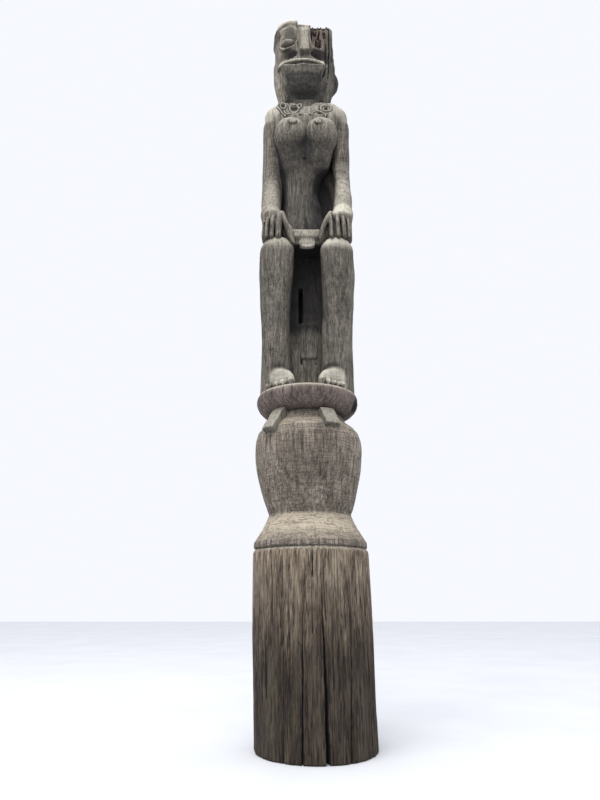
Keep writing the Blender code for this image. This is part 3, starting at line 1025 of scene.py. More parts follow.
@dataclass(frozen=True)
class Mark:
    """A place where the wood is worn, rotten or dirty, or painted lighter or shaded, fading out over a
    distance.

    Attributes:
        kind: What the place is.
        form: The form that it covers.
        fade: Over how far it fades out.
        strength: How strong it is inside.
    """

    kind: Wear
    form: Form
    fade: float = 0.01
    strength: float = 1.0

    def share(self, points: Array) -> Array:
        """How strong the mark is at points."""
        off = self.form.distance(points[:, 0], points[:, 1], points[:, 2])
        return self.strength * smooth_step(1 - off / self.fade)


def signed_angle(angle: Array, about: float) -> Array:
    """Angles in degrees measured from about, between -180 and 180."""
    return (angle - about + 180) % 360 - 180


@dataclass(frozen=True)
class Crack:
    """A drying crack along the grain of a turned piece.

    Attributes:
        foot: Its angle in degrees and height at its lower end.
        head: The same at its upper end.
        width: Its width at the lower end.
        depth: Its depth at the lower end.
        wander: How far it strays sideways, in metres.
        closing: Its width and depth at the upper end as a share of the lower.
    """

    foot: tuple[float, float]
    head: tuple[float, float]
    width: float
    depth: float
    wander: float = 0.002
    closing: float = 0.3

    def sunk(self, angle: Array, height: Array, radius: float, seed: int) -> Array:
        """How deep the crack is at points of the surface.

        Args:
            angle: The points' angles in degrees.
            height: The points' heights.
            radius: The piece's radius.
            seed: Which way the crack strays.

        Returns:
            Depths in metres, 0 off the crack.
        """
        (first, low), (last, high) = self.foot, self.head
        along = np.clip((height - low) / (high - low), 0, 1)
        source = np.random.default_rng(seed)
        bends = 12
        knots = np.cumsum(source.uniform(-1, 1, bends)) * 0.5
        drift = knots - np.linspace(knots[0], knots[-1], bends)
        stray = np.interp(along, np.linspace(0, 1, bends), drift) * self.wander
        centre = np.radians(first + (last - first) * along) * radius + stray
        off = np.radians(signed_angle(angle, 0)) * radius - centre
        off = (off + math.pi * radius) % (2 * math.pi * radius) - math.pi * radius
        ease = 1 - (1 - self.closing) * along
        within = smooth_step((height - low) / 0.006 + 0.5) * smooth_step((high - height) / 0.03 + 0.2)
        shape = np.clip(1 - (np.abs(off) / (self.width * 0.5 * ease + 1e-6)), 0, 1)
        return self.depth * ease * within * shape**0.7


@dataclass
class Turned:
    """A turned piece as a fine grid of rows and columns that can be worn and cracked.

    Attributes:
        name: The piece's name.
        outline: Its (radius, height) points from the bottom up.
        columns: How many faces it has round.
        rows: How many rows of faces its side has.
        radii: The radius at each point of the grid.
        heights: The height at each point.
        angle: The angle at each point, in degrees from the front.
        sunk: How deep each point is sunk.
        rotten: How rotten the wood is there.
        worn: How worn and pale it is there.
        crossed: How strongly fine lines cross its grain.
    """

    name: str
    outline: list[tuple[float, float]]
    columns: int
    rows: int
    radii: Array = field(init=False)
    heights: Array = field(init=False)
    angle: Array = field(init=False)
    sunk: Array = field(init=False)
    rotten: Array = field(init=False)
    worn: Array = field(init=False)
    crossed: float = 0.0

    def __post_init__(self) -> None:
        """Spaces the rows evenly along the outline."""
        line = np.array(self.outline)
        length = np.concatenate(([0], np.cumsum(np.hypot(*np.diff(line, axis=0).T))))
        spots = np.linspace(0, length[-1], int(self.rows / COARSE) + 1)
        radii, heights = np.interp(spots, length, line[:, 0]), np.interp(spots, length, line[:, 1])
        columns = int(self.columns / COARSE)
        self.angle = np.tile(np.linspace(0, 360, columns, endpoint=False), (len(spots), 1))
        self.radii = np.tile(radii[:, None], (1, columns))
        self.heights = np.tile(heights[:, None], (1, columns))
        self.sunk = np.zeros_like(self.radii)
        self.rotten = np.zeros_like(self.radii)
        self.worn = np.zeros_like(self.radii)

    def crack(self, cracks: list[Crack], radius: float, seed: int) -> None:
        """Sinks cracks into the side."""
        for number, one in enumerate(cracks):
            self.sunk = np.maximum(self.sunk, one.sunk(self.angle, self.heights, radius, seed + number))

    def dent(self, depth: float, turns: int, tall: float, seed: int) -> None:
        """Wears the side in and out in patches, as an adze and weather leave it.

        Args:
            depth: The most it moves.
            turns: How many patches go round.
            tall: How tall a patch is.
            seed: Which patches they are.
        """
        source = np.random.default_rng(seed)
        count = int((self.heights.max() - self.heights.min()) / tall) + 3
        values = source.uniform(-1, 1, (count, turns))
        row = (self.heights - self.heights.min()) / tall
        column = self.angle / 360 * turns
        r0, c0 = row.astype(int), column.astype(int)
        fr, fc = smooth_step(row - r0), smooth_step(column - c0)
        mixed = 0.0
        for dr, wr in ((0, 1 - fr), (1, fr)):
            for dc, wc in ((0, 1 - fc), (1, fc)):
                mixed = mixed + values[(r0 + dr) % count, (c0 + dc) % turns] * wr * wc
        self.radii = self.radii + depth * mixed

    def points(self) -> Array:
        """The grid's points, leaned with the log."""
        radius = np.maximum(self.radii - self.sunk, 0.001)
        turn = np.radians(self.angle)
        grid = np.stack((radius * np.sin(turn), -radius * np.cos(turn), self.heights), -1)
        return POLE.leaned(grid.reshape(-1, 3))

    def make(self, hollows: Hollows) -> bpy.types.Object:
        """The piece as a closed mesh with its attributes.

        Args:
            hollows: The pole's hollows, for dirt and painted shade.

        Returns:
            The object.
        """
        rows, columns = self.radii.shape
        side = self.points()
        number = np.arange(rows * columns).reshape(rows, columns)
        over = np.roll(number, -1, 1)
        quads = np.stack((number[:-1], over[:-1], over[1:], number[1:]), -1).reshape(-1, 4)
        ends = np.array([side[number[0]].mean(0), side[number[-1]].mean(0)])
        low, high = rows * columns, rows * columns + 1
        faces = quads.tolist()
        faces += [[low, b, a] for a, b in zip(number[0].tolist(), over[0].tolist())]
        faces += [[high, a, b] for a, b in zip(number[-1].tolist(), over[-1].tolist())]
        points = np.vstack((side, ends))
        made = mesh_object(self.name, points, faces)
        # Painted shade with dirt: darker where the wood is enclosed and in the sunk cracks
        dirt = hollows.at(points) + np.append(np.clip(self.sunk.ravel() / 0.0035, 0, 1), (0, 0))
        set_attribute(made, "hollow", np.clip(dirt, 0, 1))
        set_attribute(made, "rot", np.append(self.rotten.ravel(), (0, 0)))
        set_attribute(made, "worn", np.append(self.worn.ravel(), (0, 0)))
        set_attribute(made, "crossed", np.full(len(points), self.crossed))
        return made


def carved_piece(name: str, carving: Carving, hollows: Hollows, marks: list[Mark]) -> bpy.types.Object:
    """A carving's skin as a mesh object with its dirt, painted shade and marks.

    Args:
        name: The piece's name.
        carving: The carving.
        hollows: The pole's hollows.
        marks: Where it is worn, rotten or dirty, or painted lighter or shaded.

    Returns:
        The object.
    """
    points, faces = whole(*carving.skin())
    made = mesh_object(name, points, faces)
    # Painted shade with dirt: darker in the creases and where the wood is enclosed
    fine = blurred((carving.distance < 0).astype(np.float32), 2)
    crease = np.clip((sampled(fine, carving.low, carving.step, points) - 0.56) * 3.0, 0, 1)
    values = {"hollow": hollows.at(points) + crease * 0.8, "rot": 0.0, "worn": 0.0, "crossed": 0.0}
    for mark in marks:
        values[mark.kind.value] = values[mark.kind.value] + mark.share(points)
    for kind, amount in values.items():
        set_attribute(made, kind, np.clip(amount + np.zeros(len(points)), 0, 1))
    return made


@dataclass
class Post:
    """The plain shaft of the log with its drying cracks.

    Attributes:
        groove_width: The height of the groove under the foot.
        groove_depth: The groove's depth.
        furrows: How many fine furrows run up it.
        seed: Which furrows they are.
        shape: The turned shaft.
    """

    groove_width: float = 0.004
    groove_depth: float = 0.006
    furrows: int = 420
    seed: int = 11
    shape: Turned = field(init=False)

    def outline(self) -> list[tuple[float, float]]:
        """Its (radius, height) points from the bottom up."""
        radius, top = POLE.log_radius, POLE.post_height - self.groove_width
        return [
            (radius * 0.55, 0.0),
            (radius * 0.98, 0.0),
            (radius * 0.985, 0.002),
            (radius * 0.99, POLE.post_height * 0.2),
            (radius * 1.004, POLE.post_height * 0.55),
            (radius, top - 0.010),
            (radius - 0.0015, top - 0.002),
            (radius - self.groove_depth, top),
            (radius - self.groove_depth, POLE.post_height + 0.008),
        ]

    def cracks(self) -> list[Crack]:
        """The long cracks that show, and those of the back."""
        top = POLE.post_height
        return [
            Crack((9.4, -0.02), (7.6, top * 0.66), 0.010, 0.030),
            Crack((7.6, top * 0.60), (8.4, top * 0.97), 0.0035, 0.006),
            Crack((-13.0, -0.02), (-9.5, top * 0.70), 0.0050, 0.014),
            Crack((30.5, -0.02), (37.0, top * 0.72), 0.0055, 0.015),
            Crack((-49.0, top * 0.27), (-49.0, top * 0.60), 0.0060, 0.009),
            Crack((0.0, top * 0.84), (0.5, top * 0.99), 0.0035, 0.006, closing=1.0),
            Crack((-30.0, -0.02), (-28.0, top * 0.45), 0.0030, 0.007),
            Crack((60.0, -0.02), (57.0, top * 0.85), 0.0040, 0.010),
            Crack((96.0, -0.02), (92.0, top * 0.60), 0.0050, 0.016),
            Crack((150.0, -0.02), (146.0, top * 0.90), 0.0080, 0.024),
            Crack((205.0, -0.02), (207.0, top * 0.55), 0.0050, 0.014),
            Crack((262.0, -0.02), (266.0, top * 0.70), 0.0050, 0.014),
        ]

    def fine_furrows(self) -> list[Crack]:
        """Many short furrows along the grain, from a fixed seed."""
        source = np.random.default_rng(self.seed)
        made = []
        for _ in range(self.furrows):
            angle, low = source.uniform(0, 360), source.uniform(-0.05, POLE.post_height * 0.85)
            length = source.uniform(0.05, 0.22)
            width = source.uniform(0.0016, 0.0036)
            ends = ((angle, low), (angle + source.uniform(-1.5, 1.5), low + length))
            made.append(Crack(*ends, width, width * source.uniform(0.5, 1.1)))
        return made

    def carve(self, hollows: Hollows) -> None:
        """Turns the shaft and cracks it."""
        self.shape = Turned("carved_post", self.outline(), 700, 120)
        self.shape.dent(0.0016, 9, 0.16, 5)
        self.shape.dent(0.0008, 60, 0.10, 6)
        self.shape.crack(self.cracks(), POLE.log_radius, 40)
        self.shape.crack(self.fine_furrows(), POLE.log_radius, 80)
        line = np.array(self.outline())
        hollows.add_turned(line[:, 1], line[:, 0])

    def make(self, hollows: Hollows) -> list[bpy.types.Object]:
        """The shaft, dressed."""
        finish = AgedWood(
            "weathered_post",
            dark=(0.046, 0.033, 0.024, 1),
            mid=(0.245, 0.190, 0.136, 1),
            light=(0.480, 0.395, 0.295, 1),
            ground=(0.015, 0.010, 0.007, 1),
            ground_height=0.43,
            relief=0.0026,
        )
        made = self.shape.make(hollows)
        return [ReliefTree(depth=0.0013, across=260.0).apply(made, finish.material())]


@dataclass
class Jar:
    """The round jar on its flared foot.

    Attributes:
        band: The height of the plain band round the foot's lower edge.
        ridge: How far the shoulder's edge stands out.
        shape: The turned jar.
    """

    band: float = 0.012
    ridge: float = 0.0012
    shape: Turned = field(init=False)

    def outline(self) -> list[tuple[float, float]]:
        """Its (radius, height) points from the foot up."""
        neck, foot, base = POLE.foot_neck, POLE.foot_radius, POLE.post_height
        flare, belly = foot - neck, POLE.jar_radius - neck
        line = [
            (foot - 0.020, base - 0.003),
            (foot - 0.003, base - 0.002),
            (foot, base + 0.001),
            (foot - 0.0005, base + self.band),
            (foot - 0.0025, base + self.band + 0.003),
        ]
        for part in (0.25, 0.5, 0.75, 1.0):
            out = neck + flare * (1 - part) - 0.003 * math.sin(math.pi * part)
            line.append((out, base + self.band + (POLE.foot_height - self.band) * part))
        side = (
            (0.02, 0.03),
            (0.07, 0.17),
            (0.16, 0.38),
            (0.26, 0.58),
            (0.36, 0.76),
            (0.45, 0.87),
            (0.54, 0.95),
            (0.62, 1.00),
            (0.69, 1.00),
            (0.75, 0.95),
            (0.80, 0.84),
        )
        line += [(neck + belly * out, POLE.jar_base + POLE.jar_height * up) for up, out in side]
        edge = POLE.jar_base + POLE.jar_height * 0.825
        line += [
            (neck + belly * 0.76 + self.ridge, edge),
            (neck + belly * 0.70, edge + 0.002),
            (neck + belly * 0.56, POLE.jar_base + POLE.jar_height * 0.865),
            (neck + belly * 0.02, POLE.jar_base + POLE.jar_height * 0.925),
            (POLE.mouth_radius, POLE.dish_base + 0.008),
        ]
        return line

    def cracks(self) -> list[Crack]:
        """Fine checks round the belly and the foot."""
        source = np.random.default_rng(21)
        made = []
        for _ in range(70):
            low = source.uniform(POLE.post_height, POLE.dish_base - 0.06)
            angle, width = source.uniform(0, 360), source.uniform(0.0016, 0.0030)
            ends = ((angle, low), (angle + source.uniform(-1, 1), low + source.uniform(0.02, 0.09)))
            made.append(Crack(*ends, width, width * source.uniform(0.4, 0.9)))
        return made

    def carve(self, hollows: Hollows) -> None:
        """Turns the jar and wears it."""
        self.shape = Turned("carved_jar", self.outline(), 480, 150)
        self.shape.crossed = 0.7
        rise = (self.shape.heights - POLE.post_height) / POLE.foot_height
        self.shape.worn = 0.62 * smooth_step((rise - 0.25) / 0.35) * smooth_step((1.0 - rise) / 0.1)
        self.shape.dent(0.0016, 11, 0.05, 15)
        self.shape.dent(0.0005, 60, 0.03, 16)
        self.shape.crack(self.cracks(), POLE.jar_radius, 300)
        line = np.array(self.outline())
        hollows.add_turned(line[:, 1], line[:, 0])

    def make(self, hollows: Hollows) -> list[bpy.types.Object]:
        """The jar, dressed."""
        finish = AgedWood(
            "weathered_jar",
            dark=(0.070, 0.056, 0.044, 1),
            mid=(0.205, 0.172, 0.138, 1),
            light=(0.360, 0.310, 0.250, 1),
            bleached_and_lit=(0.560, 0.480, 0.365, 1),
            bleach_and_top_light=0.5,
            stain=((0.004, 0.0, 0.588), (0.085, 0.085, 0.058)),
        )
        made = self.shape.make(hollows)
        return [ReliefTree(depth=0.0006).apply(made, finish.material())]


@dataclass
class Dish:
    """The shallow dish under the figure's feet, rotted at its right.

    Attributes:
        bite_angle: Where the rot is, in degrees from the front.
        bite_depth: How far the rot goes in.
        shape: The turned dish.
    """

    bite_angle: float = 78.0
    bite_depth: float = 0.016
    shape: Turned = field(init=False)

    def outline(self) -> list[tuple[float, float]]:
        """Its (radius, height) points from the underside up and in over the top."""
        wide, mouth = POLE.dish_radius, POLE.mouth_radius
        side = (
            (0.93, 0.30), (0.80, 0.64), (0.62, 0.85), (0.45, 0.96), (0.30, 1.0), (0.14, 0.975), (0.04, 0.915)
        )
        line = [(mouth * 0.5, POLE.dish_base - 0.002), (mouth + 0.002, POLE.dish_base)]
        line += [
            (mouth + (wide - mouth) * out, POLE.figure_base - POLE.dish_height * down) for down, out in side
        ]
        line.append((mouth + (wide - mouth) * 0.86, POLE.figure_base))
        line += [
            (wide * part, POLE.figure_base - sunk)
            for part, sunk in ((0.80, 0.0005), (0.5, 0.001), (0.1, 0.001))
        ]
        return line

    def carve(self, hollows: Hollows) -> None:
        """Turns the dish and rots it."""
        shape = Turned("carved_dish", self.outline(), 420, 90)
        shape.dent(0.0012, 13, 0.03, 25)
        off = signed_angle(shape.angle, self.bite_angle)
        up = (shape.heights - POLE.dish_base) / POLE.dish_height
        ragged = 1 + 0.35 * np.sin(off * 0.9) + 0.25 * np.sin(off * 2.3 + 1)
        bite = np.exp(-((off / 8.0) ** 2)) * np.exp(-(((up - 0.50) / 0.22) ** 2)) * ragged
        shape.sunk = self.bite_depth * np.clip(bite, 0, 1.3)
        shape.rotten = np.clip(bite, 0, 1) * 0.8
        rim = POLE.mouth_radius + (POLE.dish_radius - POLE.mouth_radius) * 0.90
        shape.worn = smooth_step((shape.heights - POLE.figure_base + 0.0045) / 0.003) * (shape.radii > rim)
        self.shape = shape
        rising = np.array(self.outline()[1:10])
        hollows.add_turned(rising[:, 1], rising[:, 0])

    def make(self, hollows: Hollows) -> list[bpy.types.Object]:
        """The dish, dressed."""
        finish = AgedWood(
            "weathered_dish",
            dark=(0.060, 0.045, 0.039, 1),
            mid=(0.132, 0.103, 0.089, 1),
            light=(0.225, 0.185, 0.160, 1),
            rot=(0.030, 0.020, 0.015, 1),
            bleached_and_lit=(0.620, 0.560, 0.460, 1),
            shade=0.15,
        )
        made = self.shape.make(hollows)
        return [ReliefTree(depth=0.0006).apply(made, finish.material())]


@dataclass
class Lugs:
    """Two pairs of strap lugs from under the dish down to the jar's shoulder, set out by Geometry Nodes.

    Attributes:
        width: A strap's width.
        length: A strap's length down the shoulder.
        thickness: A strap's thickness.
        slope: Its slope in degrees.
        pair_angle: The middle of the front pair, in degrees from the front.
        spread: How far each strap is from its pair's middle.
        shorter: By what share one strap of a pair is shorter, and the other longer.
    """

    width: float = 0.037
    length: float = 0.062
    thickness: float = 0.022
    slope: float = 55.0
    pair_angle: float = -9.0
    spread: float = 34.5
    shorter: float = 0.12

    def strap(self) -> bpy.types.Object:
        """One strap as a rounded block, flat, with its worn crown."""
        bm = bmesh.new()
        bmesh.ops.create_cube(bm, size=1.0)
        bmesh.ops.scale(bm, vec=(self.width, self.length, self.thickness), verts=bm.verts)
        bmesh.ops.bevel(bm, geom=list(bm.edges), offset=0.0028, segments=3, profile=0.6, affect="EDGES")
        bmesh.ops.subdivide_edges(bm, edges=list(bm.edges), cuts=3, use_grid_fill=True)
        for vertex in bm.verts:
            if vertex.co.z > 0:
                across = vertex.co.x / self.width
                vertex.co.z += 0.0020 * (1 - 4 * across * across) - 0.0008 * math.cos(vertex.co.y * 190)
        mesh = bpy.data.meshes.new("strap_lugs")
        bm.to_mesh(mesh)
        bm.free()
        mesh.polygons.foreach_set("use_smooth", np.ones(len(mesh.polygons), bool))
        return placed("strap_lugs", mesh)

    def carve(self, hollows: Hollows) -> None:
        """Nothing to cut before the straps are set out."""

    def make(self, hollows: Hollows) -> list[bpy.types.Object]:
        """The four straps as one piece, dressed."""
        material = AgedWood("weathered_lugs", bleach_and_top_light=0.62).material()
        made = self.ring_tree(material).apply(self.strap())
        points = np.empty(len(made.data.vertices) * 3)
        made.data.vertices.foreach_get("co", points)
        points = POLE.leaned(points.reshape(-1, 3))
        made.data.vertices.foreach_set("co", points.ravel())
        # Painted shade with dirt where the straps are enclosed
        set_attribute(made, "hollow", hollows.at(points) * 0.8)
        return [made]

    def ring_tree(self, material: bpy.types.Material) -> PieceTree:
        """The node tree that sets the straps round the jar."""
        values = {
            "Pair angle": math.radians(self.pair_angle),
            "Spread": math.radians(self.spread),
            "Slope": math.radians(self.slope),
            "Reach": POLE.mouth_radius + (POLE.jar_radius - POLE.mouth_radius) * 0.60,
            "Height": POLE.dish_base - POLE.jar_height * 0.113,
            "Shorter": self.shorter,
        }
        graph = PieceTree("lug_ring", values)
        given = graph.given
        line = graph.node("GeometryNodeMeshLine", {"Count": 4})
        index = graph.node("GeometryNodeInputIndex").outputs[0]
        pair = graph.math("FLOOR", graph.math("DIVIDE", index, 2.0))
        hand = graph.math("SUBTRACT", graph.math("MULTIPLY", graph.math("MODULO", index, 2.0), 2.0), 1.0)
        angle = graph.math("MULTIPLY_ADD", pair, math.pi, given["Pair angle"])
        angle = graph.math("MULTIPLY_ADD", hand, given["Spread"], angle)
        x = graph.math("MULTIPLY", graph.math("SINE", angle), given["Reach"])
        y = graph.math("MULTIPLY", graph.math("COSINE", angle), graph.math("MULTIPLY", given["Reach"], -1.0))
        place = graph.node("ShaderNodeCombineXYZ", {0: x, 1: y, 2: given["Height"]}).outputs[0]
        spots = graph.node("GeometryNodeSetPosition", {"Geometry": line.outputs[0], "Position": place})
        turn = graph.node("ShaderNodeCombineXYZ", {0: given["Slope"], 2: angle}).outputs[0]
        short = graph.math("MULTIPLY_ADD", hand, graph.math("MULTIPLY", given["Shorter"], -1.0), 1.0)
        scale = graph.node("ShaderNodeCombineXYZ", {0: 1.0, 1: short, 2: 1.0}).outputs[0]
        inputs = {"Points": spots.outputs[0], "Instance": given["Geometry"], "Rotation": turn, "Scale": scale}
        ring = graph.node("GeometryNodeInstanceOnPoints", inputs)
        graph.dress(ring.outputs[0], material)
        return graph


FIGURE_WOOD = AgedWood("weathered_figure")


def both_sides() -> tuple[int, int]:
    """The sign of each side of the figure."""
    return Side.LEFT.value, Side.RIGHT.value


@dataclass
class Legs:
    """Shins, feet, lap and what is left of the log behind them.

    Attributes:
        step: The carving's spacing.
        toe_inset: How far the toes stay inside the dish's rim.
        toes: The two sides of each toe, across in girths.
        carving: The carved wood.
    """

    step: float = 0.0027
    toe_inset: float = 0.0080
    toes: tuple[tuple[float, float], ...] = (
        (-0.725, -0.665),
        (-0.645, -0.585),
        (-0.565, -0.490),
        (-0.470, -0.375),
        (-0.350, -0.235),
        (0.190, 0.295),
        (0.320, 0.395),
        (0.418, 0.475),
        (0.497, 0.570),
        (0.592, 0.660),
    )
    carving: Carving = field(init=False)

    def slab(self) -> None:
        """The log left behind the legs."""
        share, wide = POLE.share, POLE.wide
        self.carving.build(FIGURE.limb(((0, 0, -0.02), (0, 0, 0.42)), (0.90, 0.855)), 0.0)
        front = FIGURE.block((0, -1.0, 0.19), (3, 1.86, 0.62), (-2.5, 0, 0))
        self.carving.cut(front, 0.006)
        slope = (31.0, 0.0, 0.0)
        behind = share(0, 0.86, 0.350) + turned_axes(slope)[:, 1] * wide(0.5)
        self.carving.cut(Block(behind, (wide(3), wide(1), wide(2)), slope), 0.012)

    def cleft(self) -> None:
        """The narrow cleft between the shins, the crack that runs on down from it, and lesser ones."""
        self.carving.cut(FIGURE.block((-0.127, -0.02, 0.212), (0.085, 0.7, 0.088), edge=0.004), 0.003)
        crack = FIGURE.spots((-0.135, -0.08, 0.17), (-0.11, -0.08, 0.09), (-0.14, -0.08, 0.0))
        self.carving.cut(Limb(crack, [0.0040, 0.0026, 0.0022]), 0.001)
        furrows = (
            (0.05, 0.01, 0.07),
            (0.16, 0.0, 0.075),
            (-0.22, 0.02, 0.14),
            (0.24, 0.005, 0.06),
            (-0.03, 0.0, 0.065),
        )
        for x, low, high in furrows:
            furrow = FIGURE.spots((x, -0.07, low), (x + 0.01, -0.08, high))
            self.carving.cut(Limb(furrow, [0.0026, 0.0016]), 0.001)

    def flap(self) -> None:
        """The end of the loincloth that hangs between the shins, with a faint ring across it."""
        share = POLE.share
        end = FIGURE.block((0.035, -0.05, 0.126), (0.345, 0.14, 0.085), (-4, 0, 0), 0.004, 0.98)
        self.carving.build(end, 0.002)
        for rise in (0.0, 0.009):
            ring = [share(x, -0.127 + 0.02 * abs(x - 0.035), 0.128 + rise) for x in (-0.10, 0.035, 0.17)]
            self.carving.cut(Limb(ring, [0.0010, 0.0014, 0.0010]), 0.001)

    def legs(self) -> None:
        """Thick shins straight down from the knees, and thighs that run back to the hips."""
        shins = (
            (
                (-0.578, 0.306, 0.345),
                (-0.597, 0.262, 0.335),
                (-0.610, 0.205, 0.300),
                (-0.598, 0.125, 0.268),
                (-0.570, 0.0, 0.262),
            ),
            (
                (0.570, 0.306, 0.335),
                (0.590, 0.262, 0.328),
                (0.591, 0.205, 0.305),
                (0.568, 0.125, 0.292),
                (0.530, 0.0, 0.285),
            ),
        )
        forward = (-0.55, -0.53, -0.46, -0.37, -0.28)
        for side, shin in zip(both_sides(), shins):
            points = [(x, y, z) for (x, z, _), y in zip(shin, forward)]
            self.carving.build(FIGURE.limb(points, [girth for _, _, girth in shin], 1.0), 0.008)
            thigh = ((side * 0.575, -0.50, 0.310), (side * 0.50, -0.12, 0.335), (side * 0.40, 0.22, 0.345))
            self.carving.build(FIGURE.limb(thigh, (0.31, 0.26, 0.24)), 0.008)
            calf = FIGURE.block((side * 0.62, -0.08, 0.18), (0.40, 0.5, 0.36), edge=0.010)
            self.carving.build(calf, 0.006)
        pocket = FIGURE.block((0, -0.38, 0.262), (0.50, 0.62, 0.155), edge=0.012)
        self.carving.cut(pocket, 0.006)

    def feet(self) -> None:
        """Rounded insteps with five toes each that end at the dish's rim, the great toe inside."""
        wide = POLE.wide
        tips = POLE.dish_radius - self.toe_inset
        for x in (-0.49, 0.445):
            instep = FIGURE.block((x, -0.42, -0.004), (0.52, 0.80, 0.088), edge=0.030)
            self.carving.build(instep, 0.006)
        front = Outside(tips - 0.0125, POLE.figure_base - 0.02, POLE.figure_base + 0.08, wide(-0.36))
        self.carving.cut(front, 0.010)
        for left, right in self.toes:
            across = wide((left + right) / 2)
            thick = 0.0180 - 0.005 * (abs(across) / wide(0.7)) ** 2
            reach = math.sqrt(tips**2 - across**2)
            size = (wide(right - left), wide(0.34), thick * 2)
            place = np.array((across, size[1] / 2 - reach, POLE.figure_base))
            turn = math.degrees(math.atan2(across, reach)) * 0.5
            self.carving.build(Block(place, size, (0, 0, turn), 0.0050), 0.0006)
        for groove in self.toe_grooves():
            self.carving.cut(groove, 0.0006)

    def toe_grooves(self) -> list[Limb]:
        """The grooves between neighbouring toes."""
        tips = POLE.dish_radius - self.toe_inset
        made = []
        for (_, left), (right, _) in zip(self.toes, self.toes[1:]):
            across = POLE.wide((left + right) / 2)
            if right - left < 0.1:
                reach = math.sqrt(tips**2 - across**2)
                ends = [
                    np.array((across, 0.016 - reach, POLE.figure_base + 0.020)),
                    np.array((across, -reach, POLE.figure_base)),
                ]
                made.append(Limb(ends, [0.0014, 0.0022], 2.0))
        return made

    def lap(self) -> None:
        """The loincloth's front between the knees, and the rounded panel that hangs from it."""
        share = POLE.share
        seat = FIGURE.block((-0.015, -0.28, 0.348), (0.96, 0.52, 0.032), edge=0.008)
        self.carving.build(seat, 0.006)
        front = FIGURE.block((-0.015, -0.46, 0.353), (0.56, 0.34, 0.022), (-10, 0, 0), 0.004, 0.86)
        self.carving.build(front, 0.002)
        panel = FIGURE.block((0.005, -0.54, 0.3355), (0.33, 0.16, 0.026), (-12, 0, 0), 0.008, 0.84)
        self.carving.build(panel, 0.001)
        outline = ((-0.150, 0.336), (-0.130, 0.3265), (0.005, 0.3225), (0.140, 0.3265), (0.160, 0.336))
        self.carving.build(Limb([share(x, -0.615, z) for x, z in outline], [0.0022] * 5), 0.001)

    def carve(self, hollows: Hollows) -> None:
        """Carves the lower half of the figure."""
        low = np.array((-0.134, -0.134, POLE.figure_base - 0.008))
        high = np.array((0.134, 0.134, POLE.share(0, 0, 0.40)[2]))
        self.carving = Carving(low, high, self.step)
        self.slab()
        self.cleft()
        self.flap()
        self.feet()
        self.legs()
        self.lap()
        self.carving.weather(0.0007, (0.006, 0.006, 0.05), 31)
        self.carving.weather(0.0010, (0.03, 0.03, 0.06), 34)
        hollows.add_carving(self.carving)

    def marks(self) -> list[Mark]:
        """The worn knees and lap, the insteps worn and painted lighter from above on their tops, the
        weathered shins, painted shade under the lap and between the shins, and the lower legs darker.
        """
        share = POLE.share
        marks = [
            Mark(Wear.WORN_AND_LIT, FIGURE.ball((0.62, -0.80, 0.326), (0.26, 0.16, 0.012)), 0.022, 1.0),
            Mark(Wear.WORN_AND_LIT, FIGURE.ball((-0.58, -0.80, 0.322), (0.22, 0.16, 0.006)), 0.022, 0.35),
            Mark(Wear.WORN_AND_LIT, FIGURE.block((0, -0.62, 0.346), (0.6, 0.2, 0.05)), 0.006, 0.25),
            Mark(Wear.DIRT_AND_SHADE, FIGURE.block((0, -0.66, 0.346), (0.6, 0.2, 0.05)), 0.006, -0.75),
            Mark(Wear.WORN_AND_LIT, FIGURE.ball((0, -0.62, 0.323), (0.15, 0.06, 0.003)), 0.003, 0.5),
            # Painted shade in the pocket behind the shins and under the lap; the wide block makes the lower
            # legs and the slab darker
            Mark(Wear.DIRT_AND_SHADE, FIGURE.block((0, -0.12, 0.232), (0.50, 0.5, 0.12)), 0.055, 0.95),
            Mark(Wear.DIRT_AND_SHADE, FIGURE.block((0, 0.0, 0.17), (2.2, 1.6, 0.24)), 0.04, 0.26),
            Mark(Wear.DIRT_AND_SHADE, FIGURE.block((0, -0.25, 0.318), (0.50, 0.50, 0.060)), 0.008, 0.9),
        ]
        marks += [Mark(Wear.DIRT_AND_SHADE, groove, 0.002, 0.9) for groove in self.toe_grooves()]
        for side in both_sides():
            # The insteps' tops: wear and painted light from above
            top = FIGURE.ball((side * 0.46, -0.66, 0.024), (0.22, 0.22, 0.018))
            marks.append(Mark(Wear.WORN_AND_LIT, top, 0.012, 1.0))
            across = ((0.22, -0.46, 0.046), (0.46, -0.60, 0.051), (0.70, -0.46, 0.046))
            ankle = [share(side * x, y, z) for x, y, z in across]
            marks.append(Mark(Wear.DIRT_AND_SHADE, Limb(ankle, [0.003] * 3), 0.007, 0.55))
            shin = FIGURE.limb(((side * 0.6, -0.5, 0.28), (side * 0.58, -0.4, 0.05)), (0.4,) * 2)
            marks.append(Mark(Wear.CROSSED, shin, 0.02, 0.5))
        return marks

    def make(self, hollows: Hollows) -> list[bpy.types.Object]:
        """The lower half of the figure, dressed."""
        made = carved_piece("carved_legs", self.carving, hollows, self.marks())
        return [ReliefTree(depth=0.0005).apply(made, FIGURE_WOOD.material())]


